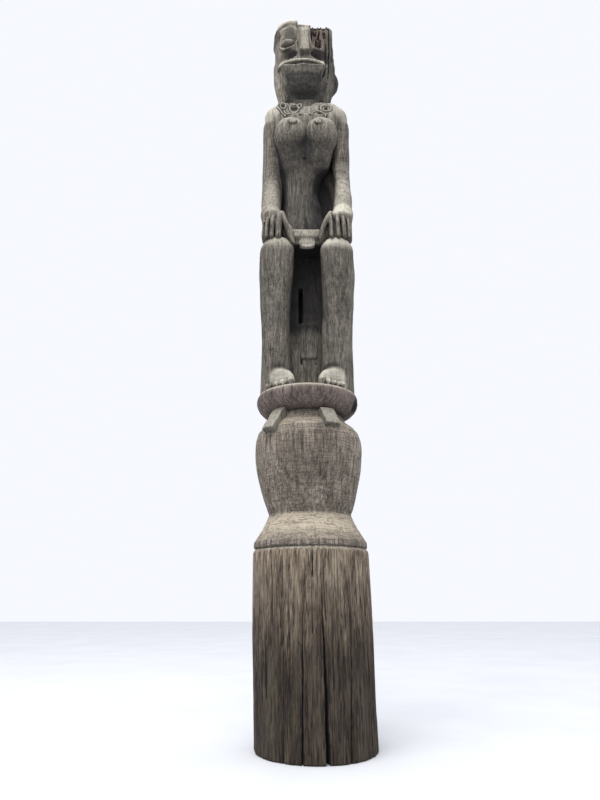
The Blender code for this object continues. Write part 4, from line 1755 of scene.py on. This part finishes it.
@dataclass(frozen=True)
class Scroll:
    """One cord of the carved necklace, laid on the chest.

    Attributes:
        spots: Places it passes through, across in girths and up as a share of the figure.
        closed: Whether it is a ring.
        radius: The cord's radius.
    """

    spots: tuple[tuple[float, float], ...]
    closed: bool = False
    radius: float = 0.0024

    @staticmethod
    def ring(x: float, z: float, wide: float, tall: float) -> "Scroll":
        """A ring round a place, with its half width in girths and half height as a share."""
        turns = [math.radians(angle) for angle in range(0, 360, 30)]
        return Scroll(tuple((x + wide * math.cos(t), z + tall * math.sin(t)) for t in turns), closed=True)

    def path(self, carving: Carving) -> Array:
        """Close-set points along the cord on the wood's front."""
        spots = self.spots + self.spots[:1] if self.closed else self.spots
        flat, _ = Limb([POLE.share(x, 0, z) for x, z in spots], [self.radius] * len(spots)).path()
        return np.array([(x, carving.front(x, z), z) for x, _, z in flat])


@dataclass
class Necklace:
    """The interlaced scrolls carved below the neck, as cords that Geometry Nodes lays along their lines.

    Attributes:
        scrolls: The cords.
        dark_pockets: Carved-out places between them, darkened with painted shade and dirt: across, up, half
            width and half height.
    """

    scrolls: tuple[Scroll, ...] = (
        Scroll.ring(-0.510, 0.7321, 0.060, 0.0092),
        Scroll(
            (
                (-0.485, 0.7443),
                (-0.590, 0.7425),
                (-0.640, 0.7321),
                (-0.575, 0.7199),
                (-0.525, 0.7089),
                (-0.445, 0.6985),
            ),
        ),
        Scroll.ring(-0.265, 0.7242, 0.100, 0.0128),
        Scroll.ring(-0.150, 0.7321, 0.045, 0.0061),
        Scroll(((-0.500, 0.7174), (-0.430, 0.7059), (-0.345, 0.7071), (-0.225, 0.7071), (-0.125, 0.6985))),
        Scroll(
            (
                (0.080, 0.6973),
                (0.125, 0.7083),
                (0.200, 0.7150),
                (0.285, 0.7150),
                (0.360, 0.7101),
                (0.420, 0.7034),
                (0.415, 0.6967),
            ),
        ),
        Scroll.ring(0.430, 0.7254, 0.120, 0.0095),
        Scroll(((0.310, 0.7211), (0.330, 0.7321), (0.430, 0.7388))),
    )
    dark_pockets: tuple[tuple[float, float, float, float], ...] = (
        (-0.510, 0.7321, 0.027, 0.0036),
        (-0.386, 0.7421, 0.022, 0.0018),
        (-0.265, 0.7235, 0.053, 0.0058),
        (-0.168, 0.7400, 0.031, 0.0018),
        (0.281, 0.7065, 0.049, 0.0027),
        (0.432, 0.7250, 0.035, 0.0036),
    )

    def cut(self, carving: Carving) -> None:
        """Cuts the dark places between the cords into the chest."""
        for x, z, wide, tall in self.dark_pockets:
            spot = POLE.share(x, 0, z)
            spot[1] = carving.front(spot[0], spot[2])
            carving.cut(Ball(spot, (POLE.wide(wide), 0.0045, POLE.tall(tall))), 0.001)

    def marks(self, carving: Carving) -> list[Mark]:
        """Painted shade with dirt along the cords and in the cut places."""
        marks = []
        for scroll in self.scrolls:
            line = scroll.path(carving)
            line = [*line[::2], line[-1]]
            marks.append(Mark(Wear.DIRT_AND_SHADE, Limb(line, [0.0040] * len(line), cuts=1), 0.0030, 0.9))
        for x, z, wide, tall in self.dark_pockets:
            spot = POLE.share(x, 0, z)
            spot[1] = carving.front(spot[0], spot[2])
            marks.append(Mark(Wear.DIRT_AND_SHADE, Ball(spot, (POLE.wide(wide), 0.012, POLE.tall(tall))), 0.003))
        return marks

    def make(self, carving: Carving, material: bpy.types.Material) -> bpy.types.Object:
        """The cords as one piece.

        Args:
            carving: The chest that they lie on.
            material: Their finish.

        Returns:
            The object.
        """
        points, edges = [], []
        for scroll in self.scrolls:
            line = scroll.path(carving)[: -1 if scroll.closed else None]
            first = len(points)
            points += line.tolist()
            edges += [(first + i, first + i + 1) for i in range(len(line) - 1)]
            if scroll.closed:
                edges.append((first + len(line) - 1, first))
        mesh = bpy.data.meshes.new("chest_scrolls")
        mesh.from_pydata(points, edges, [])
        made = self.cord_tree(material).apply(placed("chest_scrolls", mesh))
        set_attribute(made, "worn", np.full(len(made.data.vertices), 0.40))
        return made

    def cord_tree(self, material: bpy.types.Material) -> PieceTree:
        """The node tree that lays a round cord along edges."""
        graph = PieceTree("cord", {"Radius": self.scrolls[0].radius})
        given = graph.given
        curve = graph.node("GeometryNodeMeshToCurve", {"Mesh": given["Geometry"]})
        profile = graph.node("GeometryNodeCurvePrimitiveCircle", {"Resolution": 8, "Radius": given["Radius"]})
        inputs = {"Curve": curve.outputs[0], "Profile Curve": profile.outputs[0], "Fill Caps": True}
        cord = graph.node("GeometryNodeCurveToMesh", inputs)
        smooth = graph.node("GeometryNodeSetShadeSmooth", {0: cord.outputs[0]})
        graph.dress(smooth.outputs[0], material)
        return graph


@dataclass
class Trunk:
    """The torso, back, shoulders, breasts, arms and hands.

    Attributes:
        step: The carving's spacing.
        necklace: The scrolls on its chest.
        nipples: Where each nipple is, across in girths and up as a share.
        carving: The carved wood.
    """

    step: float = 0.0027
    necklace: Necklace = field(default_factory=Necklace)
    nipples: tuple[tuple[float, float], ...] = ((-0.295, 0.6560), (0.250, 0.6560))
    carving: Carving = field(init=False)

    def back(self) -> None:
        """The rounded back, hollowed in front so that it stands behind the arms as a web of wood."""
        line = ((0.36, 0.77), (0.55, 0.78), (0.69, 0.76), (0.735, 0.60))
        axis = [(0, 0.13, z) for z, _ in line]
        self.carving.build(FIGURE.limb(axis, [g for _, g in line], 0.58), 0.0)
        self.carving.cut(FIGURE.block((0, -0.5, 0.53), (3, 1.26, 0.44), edge=0.01), 0.004)
        self.carving.cut(FIGURE.block((0.45, 0.0, 0.50), (0.42, 0.58, 0.22), edge=0.018), 0.010)

    def torso(self) -> None:
        """The trunk, narrow at the waist, with its square upper chest and sloping shoulders."""
        share, wide = POLE.share, POLE.wide
        spine = (
            (-0.02, 0.16, 0.335, 0.56),
            (-0.04, 0.16, 0.400, 0.53),
            (-0.09, 0.15, 0.455, 0.44),
            (-0.14, 0.15, 0.515, 0.37),
            (-0.09, 0.14, 0.570, 0.44),
            (0.0, 0.08, 0.640, 0.60),
            (0.0, 0.08, 0.700, 0.64),
        )
        metres = tuple((*share(x, y, z), wide(girth)) for x, y, z, girth in spine)
        self.carving.build(Column(metres, 0.80), 0.010)
        chest = FIGURE.block((0, 0.03, 0.7080), (1.36, 0.76, 0.082), (-5, 0, 0), 0.018)
        self.carving.build(chest, 0.012)
        yoke = ((-0.645, 0.05, 0.7245), (0, 0.10, 0.726), (0.635, 0.05, 0.7235))
        self.carving.build(FIGURE.limb(yoke, (0.29, 0.30, 0.29), 1.15), 0.010)

    def breasts(self) -> None:
        """Full breasts that meet, with a disc at each nipple."""
        share, wide = POLE.share, POLE.wide
        for x in (-0.345, 0.325):
            root = ((x, -0.26, 0.640), (x * 0.85, -0.06, 0.580))
            self.carving.build(FIGURE.limb(root, (0.31, 0.22)), 0.020)
            self.carving.build(FIGURE.ball((x, -0.29, 0.648), (0.352, 0.36, 0.0455), (-20, 0, 0)), 0.007)
        for x, z in self.nipples:
            nipple = share(x, 0, z)
            nipple[1] = self.carving.front(nipple[0], nipple[2])
            self.carving.build(Ball(nipple, (wide(0.090), 0.0022, wide(0.090)), (-25, 0, 0)), 0.0005)
            self.carving.build(Ball(nipple, (wide(0.024), 0.0050, wide(0.024))), 0.001)

    def belly(self) -> None:
        """The navel and the split below it."""
        share, wide = POLE.share, POLE.wide
        self.carving.cut(Ball(share(-0.035, -0.26, 0.587), (wide(0.050), wide(0.05), wide(0.016))), 0.0015)
        split = FIGURE.spots(
            (-0.04, -0.22, 0.49), (-0.02, -0.26, 0.43), (0.02, -0.28, 0.38), (0.03, -0.28, 0.35)
        )
        self.carving.cut(Limb(split, [0.0020, 0.0060, 0.0075, 0.0060]), 0.003)

    def arms(self) -> None:
        """Plain round arms straight down the sides, the forearms coming forward to the knees."""
        left = (
            (-0.725, 0.06, 0.700, 0.235),
            (-0.737, 0.08, 0.640, 0.220),
            (-0.737, 0.06, 0.540, 0.220),
            (-0.742, -0.16, 0.470, 0.208),
            (-0.735, -0.45, 0.412, 0.190),
        )
        right = (
            (0.720, 0.06, 0.700, 0.235),
            (0.725, 0.08, 0.640, 0.222),
            (0.762, 0.06, 0.550, 0.180),
            (0.757, -0.16, 0.475, 0.190),
            (0.720, -0.45, 0.412, 0.200),
        )
        for line in (left, right):
            self.carving.build(
                FIGURE.limb([spot[:3] for spot in line], [spot[3] for spot in line], 1.1), 0.006
            )

    def hands(self) -> None:
        """Hands on the thighs, four fingers down to the kneecap and the thumb along its inner side."""
        fingers = (
            (-0.890, -0.845), (-0.828, -0.750), (-0.732, -0.640), (-0.616, -0.505),
            (0.425, 0.513), (0.556, 0.652), (0.672, 0.768), (0.785, 0.850),
        )
        for side in both_sides():
            mitt = FIGURE.block((side * 0.70, -0.58, 0.366), (0.38, 0.26, 0.076), (-12, 0, 0), 0.012)
            self.carving.build(mitt, 0.006)
            palm = ((side * 0.730, -0.45, 0.412), (side * 0.690, -0.62, 0.392))
            self.carving.build(FIGURE.limb(palm, (0.198, 0.205), 0.80), 0.008)
        for left, right in fingers:
            middle = (left + right) / 2
            back = 0.16 * max(0.0, abs(middle) - 0.60)
            line = (
                (middle * 0.96, -0.72 + back, 0.392),
                (middle * 0.99, -0.81 + back, 0.366),
                (middle, -0.86 + back, 0.331),
            )
            girth = (right - left) / 2
            self.carving.build(FIGURE.limb(line, (girth, girth, girth * 0.9), 1.6), 0.0012)
        thumbs = (
            ((-0.50, -0.66, 0.400), (-0.41, -0.74, 0.366), (-0.33, -0.76, 0.338), (-0.24, -0.74, 0.312)),
            ((0.47, -0.66, 0.400), (0.375, -0.76, 0.374), (0.30, -0.78, 0.350), (0.265, -0.76, 0.332)),
        )
        for side, thumb in zip(both_sides(), thumbs):
            web = FIGURE.ball((side * 0.42, -0.58, 0.362), (0.14, 0.12, 0.034), (0, side * 24, 0))
            self.carving.build(web, 0.004)
            self.carving.build(FIGURE.limb(thumb, (0.060, 0.058, 0.050, 0.034), 1.4), 0.002)

    def neck(self) -> None:
        """The neck under the head."""
        self.carving.build(FIGURE.limb(((0, 0.22, 0.72), (0, 0.22, 0.765)), (0.28, 0.24)), 0.008)

    def carve(self, hollows: Hollows) -> None:
        """Carves the upper half of the body."""
        low = np.array((-0.138, -0.134, POLE.share(0, 0, 0.318)[2]))
        high = np.array((0.138, 0.134, POLE.share(0, 0, 0.80)[2]))
        self.carving = Carving(low, high, self.step)
        self.back()
        self.torso()
        self.breasts()
        self.belly()
        self.arms()
        self.hands()
        self.neck()
        self.necklace.cut(self.carving)
        self.carving.weather(0.0007, (0.006, 0.006, 0.05), 32)
        self.carving.weather(0.0010, (0.03, 0.03, 0.06), 35)
        hollows.add_carving(self.carving)

    def nipple_rings(self) -> list[Mark]:
        """A thin dark ring round each nipple's disc."""
        marks = []
        for x, z in self.nipples:
            turns = [math.radians(angle) for angle in range(0, 361, 30)]
            places = [POLE.share(x + 0.092 * math.cos(t), 0, z + 0.0100 * math.sin(t)) for t in turns]
            ring = [np.array((a, self.carving.front(a, c), c)) for a, _, c in places]
            marks.append(Mark(Wear.DIRT_AND_SHADE, Limb(ring, [0.0010] * len(ring), cuts=1), 0.0030, 0.6))
        return marks

    def marks(self) -> list[Mark]:
        """The worn wrist and chest, the shoulder tops worn and painted lighter from above, painted light on
        the right arm's outer side, painted shade with some dirt on the torso and beside the waist, darker
        hands, and the lines across the arms.
        """
        torso = (
            (-0.03, 0.10, 0.340), (-0.05, 0.10, 0.45), (-0.10, 0.10, 0.53), (-0.03, 0.02, 0.600),
        )
        marks = [
            Mark(Wear.WORN_AND_LIT, FIGURE.ball((0.70, -0.66, 0.414), (0.16, 0.12, 0.012)), 0.022, 0.9),
            Mark(Wear.WORN_AND_LIT, FIGURE.block((0.0, -0.33, 0.722), (1.0, 0.10, 0.016)), 0.02, 0.40),
            # The shoulder tops: wear and painted light from above
            Mark(Wear.WORN_AND_LIT, FIGURE.ball((-0.76, -0.10, 0.735), (0.20, 0.30, 0.020)), 0.03, 0.7),
            Mark(Wear.WORN_AND_LIT, FIGURE.ball((0.76, -0.10, 0.735), (0.20, 0.30, 0.020)), 0.03, 0.7),
            # Painted light on the right arm's outer side, as if lit from the right
            Mark(Wear.WORN_AND_LIT, FIGURE.block((0.80, 0.0, 0.52), (0.14, 0.6, 0.12)), 0.02, 0.30),
            # Painted shade with some dirt in the gap beside the right arm, over the front of the torso and
            # beside the right hip
            Mark(Wear.DIRT_AND_SHADE, FIGURE.ball((0.42, 0.05, 0.48), (0.24, 0.26, 0.10)), 0.014, 0.8),
            Mark(Wear.DIRT_AND_SHADE, FIGURE.limb(torso, (0.50, 0.47, 0.44, 0.44)), 0.045, 0.58),
            Mark(Wear.DIRT_AND_SHADE, FIGURE.limb(((0.36, 0.0, 0.33), (0.30, 0.0, 0.47)), (0.10,) * 2), 0.055, 0.55),
            Mark(Wear.DIRT_AND_SHADE, FIGURE.ball((-0.70, -0.70, 0.365), (0.24, 0.20, 0.030)), 0.02, 0.22),
            Mark(Wear.DIRT_AND_SHADE, FIGURE.ball((0.66, -0.70, 0.355), (0.24, 0.20, 0.026)), 0.02, 0.10),
        ]
        for side in both_sides():
            arm = FIGURE.limb(((side * 0.74, 0.06, 0.68), (side * 0.75, 0.0, 0.44)), (0.2,) * 2)
            marks.append(Mark(Wear.CROSSED, arm, 0.02, 0.8))
        return marks + self.nipple_rings() + self.necklace.marks(self.carving)

    def make(self, hollows: Hollows) -> list[bpy.types.Object]:
        """The upper half of the body and its necklace, dressed."""
        made = carved_piece("carved_trunk", self.carving, hollows, self.marks())
        dressed = ReliefTree(depth=0.0005).apply(made, FIGURE_WOOD.material())
        return [dressed, self.necklace.make(self.carving, FIGURE_WOOD.material())]


@dataclass
class Head:
    """The schematic mask of the head, with its rotted eye, its splits and its side strips.

    Attributes:
        step: The carving's spacing.
        crown_slope: How steeply the broken crown falls to the front, in degrees.
        rot_seed: Which bites the rot takes.
        carving: The carved wood.
    """

    step: float = 0.00185
    crown_slope: float = 40.0
    rot_seed: int = 7
    carving: Carving = field(init=False)

    def skull(self) -> None:
        """A rounded column that narrows back to the neck, under a low dome."""
        axis = ((0.02, 0.14, 0.755), (0.01, 0.10, 0.80), (0, 0.02, 0.84), (0, 0, 0.90), (0, 0, 0.925))
        self.carving.build(MASK.limb(axis, (0.52, 0.60, 0.655, 0.672, 0.668)), 0.0)
        self.carving.build(MASK.ball((0, 0, 0.930), (0.672, 0.665, 0.070)), 0.006)
        self.carving.build(MASK.limb(((0.20, 0, 0.90), (0.20, 0, 1.02)), (0.465,) * 2, 1.36), 0.003)

    def crest(self) -> None:
        """The crest over the sound eye: a cap of hair with an overhanging edge."""
        body = ((-0.60, -0.06, 0.945), (-0.50, -0.32, 0.957), (-0.30, -0.46, 0.954), (-0.08, -0.49, 0.948))
        self.carving.build(MASK.limb(body, (0.12, 0.17, 0.18, 0.16)), 0.006)
        edge = (
            (-0.665, 0.0, 0.944),
            (-0.640, -0.22, 0.9600),
            (-0.530, -0.42, 0.9715),
            (-0.370, -0.56, 0.9645),
            (-0.220, -0.63, 0.9590),
            (-0.080, -0.66, 0.9540),
        )
        self.carving.build(MASK.limb(edge, (0.045, 0.060, 0.068, 0.070, 0.068, 0.066)), 0.004)
        under = (
            (-0.70, -0.10, 0.939),
            (-0.675, -0.30, 0.9490),
            (-0.560, -0.51, 0.9590),
            (-0.390, -0.65, 0.9505),
            (-0.225, -0.715, 0.9455),
            (-0.080, -0.74, 0.9410),
        )
        self.carving.cut(MASK.limb(under, (0.02, 0.045, 0.052, 0.052, 0.050, 0.048)), 0.0015)

    def broken_top(self) -> None:
        """The broken crown, a plane that falls to the front and ends the crest in a step, level behind."""
        wide = POLE.wide
        turn = (self.crown_slope, 0, 0)
        step, reach = -0.15, 1.6
        deep = wide(reach)
        face = MASK.spot(step + reach / 2, -0.33, 0.981)
        self.carving.cut(
            Block(face + turned_axes(turn)[:, 2] * deep / 2, (wide(reach), wide(3), deep), turn), 0.0015
        )
        level = MASK.spot(0.0, 0.2, 1.0)
        level[2] += deep / 2
        self.carving.cut(Block(level, (wide(3), wide(3), deep)), 0.002)

    def sockets(self) -> None:
        """The oval socket with its almond eye and rim, and the hollow under each cheekbone."""
        self.carving.cut(MASK.ball((-0.365, -0.66, 0.915), (0.215, 0.26, 0.034)), 0.0025)
        eye = ((-0.52, -0.42, 0.911), (-0.43, -0.475, 0.912), (-0.31, -0.495, 0.9105), (-0.20, -0.47, 0.906))
        self.carving.build(MASK.limb(eye, (0.022, 0.082, 0.082, 0.022), 1.0), 0.001)
        rim = (
            (-0.57, -0.40, 0.909),
            (-0.50, -0.49, 0.890),
            (-0.36, -0.585, 0.881),
            (-0.23, -0.615, 0.887),
            (-0.165, -0.62, 0.902),
        )
        self.carving.build(MASK.limb(rim, (0.018, 0.028, 0.032, 0.028, 0.018)), 0.002)
        cheek = MASK.ball((-0.42, -0.72, 0.8655), (0.30, 0.26, 0.0165), (0, 6, 0))
        self.carving.cut(cheek, 0.003)
        cheek = MASK.ball((0.38, -0.68, 0.8655), (0.27, 0.26, 0.0175), (0, -4, 0))
        self.carving.cut(cheek, 0.003)

    def nose(self) -> None:
        """A straight wedge of a nose, flat below."""
        wedge = MASK.block((0.0, -0.60, 0.896), (0.17, 0.25, 0.084), (-9, 0, 0), 0.006, 1.75)
        self.carving.build(wedge, 0.004)
        self.carving.cut(MASK.block((0.0, -0.82, 0.8465), (0.40, 0.30, 0.020), (-6, 0, 0)), 0.0015)

    def mouth(self) -> None:
        """A broad lip that stands out as a ledge, a thin slit below it, and the chin on its rounded root."""
        ledge = MASK.ball((-0.035, -0.22, 0.8470), (0.590, 0.510, 0.0080), (12, 0, 0))
        self.carving.build(ledge, 0.002)
        chin = MASK.block((-0.03, -0.445, 0.8165), (1.00, 0.42, 0.032), (24, 0, 0), 0.004, 0.68)
        self.carving.build(chin, 0.003)
        under = MASK.ball((-0.02, -0.36, 0.7990), (0.42, 0.26, 0.030))
        self.carving.build(under, 0.014)
        lower = ((-0.24, -0.635, 0.8225), (-0.02, -0.675, 0.8220), (0.20, -0.635, 0.8225))
        self.carving.build(MASK.limb(lower, (0.014, 0.028, 0.014)), 0.002)
        slit = ((-0.22, -0.69, 0.8310), (-0.02, -0.73, 0.8305), (0.20, -0.69, 0.8310))
        self.carving.cut(MASK.limb(slit, (0.012, 0.024, 0.012), 1.8), 0.001)

    def throat(self) -> None:
        """The dark hollow under the chin, between the strips at the sides of the head."""
        hollow = MASK.block((0.0, -0.62, 0.770), (0.74, 0.56, 0.054), (14, 0, 0), 0.012, 0.9)
        self.carving.cut(hollow, 0.008)
        for side, reach in ((-1, 0.60), (1, 0.62)):
            strip = (
                (side * reach, -0.12, 0.90),
                (side * 0.60, -0.16, 0.86),
                (side * 0.55, -0.18, 0.81),
                (side * 0.46, -0.16, 0.76),
            )
            self.carving.build(MASK.limb(strip, (0.06, 0.10, 0.13, 0.12)), 0.006)
        self.carving.build(MASK.ball((-0.55, 0.02, 0.8565), (0.145, 0.24, 0.050)), 0.006)
        flange = ((0.60, 0.02, 0.872), (0.705, 0.02, 0.8375), (0.58, 0.02, 0.805))
        self.carving.build(MASK.limb(flange, (0.065, 0.085, 0.065), 2.0), 0.003)

    def damage(self) -> None:
        """The rotted eye, the middle split beside the nose, and the long splits down the side."""
        wide, tall = POLE.wide, POLE.tall
        source = np.random.default_rng(self.rot_seed)
        self.carving.cut(MASK.ball((0.29, -0.60, 0.932), (0.17, 0.22, 0.052)), 0.002)
        for x in (0.17, 0.24, 0.32, 0.40):
            place = MASK.spot(x, -0.42 + 0.4 * (x - 0.2), 0.925 + source.uniform(-0.01, 0.01))
            ridge = (wide(0.036), wide(0.070), tall(source.uniform(0.028, 0.042)))
            self.carving.build(Ball(place, ridge, (source.uniform(-6, 6), source.uniform(-8, 8), 0)), 0.002)
        for _ in range(20):
            place = MASK.spot(source.uniform(0.12, 0.46), -0.48, source.uniform(0.895, 0.968))
            bite = (wide(source.uniform(0.016, 0.036)), wide(0.16), tall(source.uniform(0.008, 0.024)))
            self.carving.cut(Ball(place, bite, (source.uniform(-15, 15), source.uniform(-12, 12), 0)), 0.0008)
        for x, deep in (
            (0.15, 0.012), (0.245, 0.020), (0.335, 0.013), (0.43, 0.022), (0.52, 0.010), (0.59, 0.014)
        ):
            notch = MASK.spots((x, -0.66, 0.943), (x + 0.01, -0.36, 0.974))
            self.carving.cut(Limb(notch, [deep * 0.45, deep * 0.30]), 0.001)
        lid = ((0.13, -0.60, 0.887), (0.26, -0.565, 0.8815), (0.41, -0.47, 0.885))
        self.carving.build(MASK.limb(lid, (0.022, 0.036, 0.022)), 0.002)
        middle = MASK.spots(
            (-0.150, -0.68, 0.962), (-0.148, -0.66, 0.90), (-0.135, -0.70, 0.86), (-0.115, -0.72, 0.828)
        )
        self.carving.cut(Limb(middle, [0.0020, 0.0026, 0.0020, 0.0014], 2.5), 0.0008)
        splits = (
            ((0.49, -0.46, 0.965), (0.475, -0.46, 0.90), (0.465, -0.44, 0.84), (0.36, -0.40, 0.795)),
            ((0.55, -0.36, 0.970), (0.545, -0.36, 0.90), (0.540, -0.32, 0.85), (0.50, -0.28, 0.80)),
            ((0.60, -0.26, 0.950), (0.610, -0.24, 0.91), (0.600, -0.22, 0.88), (0.59, -0.22, 0.85)),
        )
        for split, girth in zip(splits, (0.0040, 0.0028, 0.0022)):
            self.carving.cut(Limb(MASK.spots(*split), [girth, girth, girth * 0.9, girth * 0.5], 2.5), 0.001)

    def carve(self, hollows: Hollows) -> None:
        """Carves the head."""
        low = np.array((-0.125, -0.125, POLE.share(0, 0, 0.725)[2]))
        high = np.array((0.125, 0.125, POLE.share(0, 0, 1.0)[2] + 0.004))
        self.carving = Carving(low, high, self.step)
        self.skull()
        self.crest()
        self.broken_top()
        self.throat()
        self.sockets()
        self.nose()
        self.mouth()
        self.damage()
        self.carving.weather(0.0005, (0.005, 0.005, 0.04), 33)
        hollows.add_carving(self.carving)

    def marks(self) -> list[Mark]:
        """The rot at the lost eye, the crest, lip ledge and brow worn and painted lighter from above, the
        worn nose, and painted shade with some dirt in the shaded places.
        """
        ledge = (
            (-0.58, -0.38, 0.857),
            (-0.28, -0.68, 0.8405),
            (0, -0.74, 0.8385),
            (0.25, -0.68, 0.8405),
            (0.48, -0.46, 0.850),
        )
        bridge = ((0.02, -0.72, 0.94), (0.02, -0.76, 0.868))
        crest = ((-0.65, -0.20, 0.962), (-0.50, -0.46, 0.973), (-0.20, -0.66, 0.962))
        return [
            Mark(Wear.ROTTEN, MASK.ball((0.29, -0.50, 0.932), (0.17, 0.20, 0.046)), 0.006, 0.70),
            Mark(Wear.DIRT_AND_SHADE, MASK.ball((0.29, -0.50, 0.932), (0.17, 0.20, 0.046)), 0.006, -0.25),
            # The lip ledge's top: wear and painted light from above
            Mark(Wear.WORN_AND_LIT, MASK.limb(ledge, (0.03,) * 5), 0.008, 1.0),
            Mark(Wear.WORN_AND_LIT, MASK.limb(bridge, (0.05, 0.06)), 0.008, 0.22),
            # The crest and the brow over the sound eye: wear and painted light from above
            Mark(Wear.WORN_AND_LIT, MASK.limb(crest, (0.06,) * 3), 0.008, 0.9),
            Mark(Wear.WORN_AND_LIT, MASK.ball((-0.38, -0.56, 0.940), (0.24, 0.12, 0.012)), 0.008, 0.35),
            Mark(Wear.WORN_AND_LIT, MASK.block((0.02, -0.55, 0.945), (0.25, 0.3, 0.02)), 0.01, 0.20),
            # Painted shade with some dirt in the hollows under the cheekbones
            Mark(Wear.DIRT_AND_SHADE, MASK.ball((-0.42, -0.50, 0.8665), (0.30, 0.16, 0.014)), 0.006, 0.65),
            Mark(Wear.DIRT_AND_SHADE, MASK.ball((0.38, -0.50, 0.8665), (0.26, 0.16, 0.014)), 0.006, 0.60),
            Mark(Wear.DIRT_AND_SHADE, MASK.block((-0.03, -0.50, 0.8125), (0.86, 0.4, 0.030)), 0.008, 0.25),
            Mark(Wear.DIRT_AND_SHADE, MASK.limb(ledge, (0.03,) * 5), 0.008, -0.4),
            Mark(Wear.DIRT_AND_SHADE, MASK.ball((-0.36, -0.52, 0.912), (0.16, 0.12, 0.016)), 0.006, -0.3),
            # Painted shade under the chin
            Mark(Wear.DIRT_AND_SHADE, MASK.block((0.0, -0.50, 0.772), (0.66, 0.50, 0.05)), 0.022, 0.75),
            Mark(Wear.DIRT_AND_SHADE, MASK.block((0.60, -0.20, 0.86), (0.26, 0.60, 0.20)), 0.012, 0.50),
            Mark(Wear.DIRT_AND_SHADE, MASK.ball((0.72, -0.10, 0.838), (0.10, 0.16, 0.03)), 0.020, 0.30),
        ]

    def make(self, hollows: Hollows) -> list[bpy.types.Object]:
        """The head, dressed."""
        made = carved_piece("carved_head", self.carving, hollows, self.marks())
        return [ReliefTree(depth=0.0005).apply(made, FIGURE_WOOD.material())]


@dataclass
class Studio:
    """The pale floor, the soft light and the camera.

    Attributes:
        lens: The camera's focal length in millimetres.
        camera_place: Where the camera stands.
        camera_tilt: How far it looks up, in degrees.
    """

    lens: float = 27.0
    camera_place: Point = (-0.0185, -1.44, 0.302)
    camera_tilt: float = 18.43

    def floor(self) -> bpy.types.Object:
        """A wide pale floor."""
        corners = np.array([(-8, -8, 0), (8, -8, 0), (8, 8, 0), (-8, 8, 0)], float)
        corners[:, 2] = -0.0005
        made = mesh_object("floor", corners, [[0, 1, 2, 3]])
        material = bpy.data.materials.new("pale_floor")
        material.use_nodes = True
        graph = NodeGraph(material.node_tree)
        place = graph.node("ShaderNodeTexCoord").outputs["Object"]
        tone = graph.ranged(graph.noise(place, 3.0, 3.0), 0.3, 0.7)
        colour = graph.mixed(tone, (0.78, 0.79, 0.82, 1), (0.84, 0.85, 0.87, 1))
        shader = graph.node("ShaderNodeBsdfPrincipled", {"Base Color": colour, "Roughness": 0.9})
        graph.node("ShaderNodeOutputMaterial", {"Surface": shader.outputs[0]})
        made.data.materials.append(material)
        return made

    def light(self) -> None:
        """Even light from all round, and a broad soft light above and in front."""
        world = bpy.data.worlds.new("studio")
        bpy.context.scene.world = world
        world.use_nodes = True
        graph = NodeGraph(world.node_tree)
        back = graph.node("ShaderNodeBackground", {"Color": (0.93, 0.95, 1.0, 1), "Strength": 1.0})
        graph.node("ShaderNodeOutputWorld", {"Surface": back.outputs[0]})
        for name, place, size, power in (
            ("overhead", (-0.5, -1.1, 3.6), 1.8, 60.0),
            ("front", (-1.2, -3.0, 2.4), 2.0, 18.0),
        ):
            lamp = bpy.data.lights.new(name, "AREA")
            lamp.size = size
            lamp.energy = power
            made = placed(name, lamp)
            made.location = place
            aim = Vector((0.0, 0.0, 1.2)) - Vector(place)
            made.rotation_euler = aim.to_track_quat("-Z", "Y").to_euler()

    def camera(self) -> None:
        """The camera at the photograph's place and angle."""
        lens = bpy.data.cameras.new("camera")
        lens.lens = self.lens
        lens.sensor_width = 36.0
        made = placed("camera", lens)
        made.location = self.camera_place
        made.rotation_euler = (math.radians(90 + self.camera_tilt), 0.0, 0.0)
        bpy.context.scene.camera = made
        bpy.context.scene.view_settings.view_transform = "Standard"


def hand_over(made: bpy.types.Object) -> None:
    """Gives a finished piece to the frame."""
    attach(made, BODY)
    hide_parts(NODE)
    made.data.calc_loop_triangles()
    LOG.info("%s: %d triangles", made.name, len(made.data.loop_triangles))


def main() -> None:
    """Builds the studio and every sub-assembly."""
    logging.basicConfig(level=logging.INFO, format="%(message)s")
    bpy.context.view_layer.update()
    studio = Studio()
    studio.camera()
    studio.light()
    studio.floor()
    hollows = Hollows()
    parts = [Post(), Jar(), Dish(), Lugs(), Legs(), Trunk(), Head()]
    for part in parts:
        part.carve(hollows)
    hollows.finish()
    for part in parts:
        for made in part.make(hollows):
            hand_over(made)


if __name__ == "__main__":
    main()
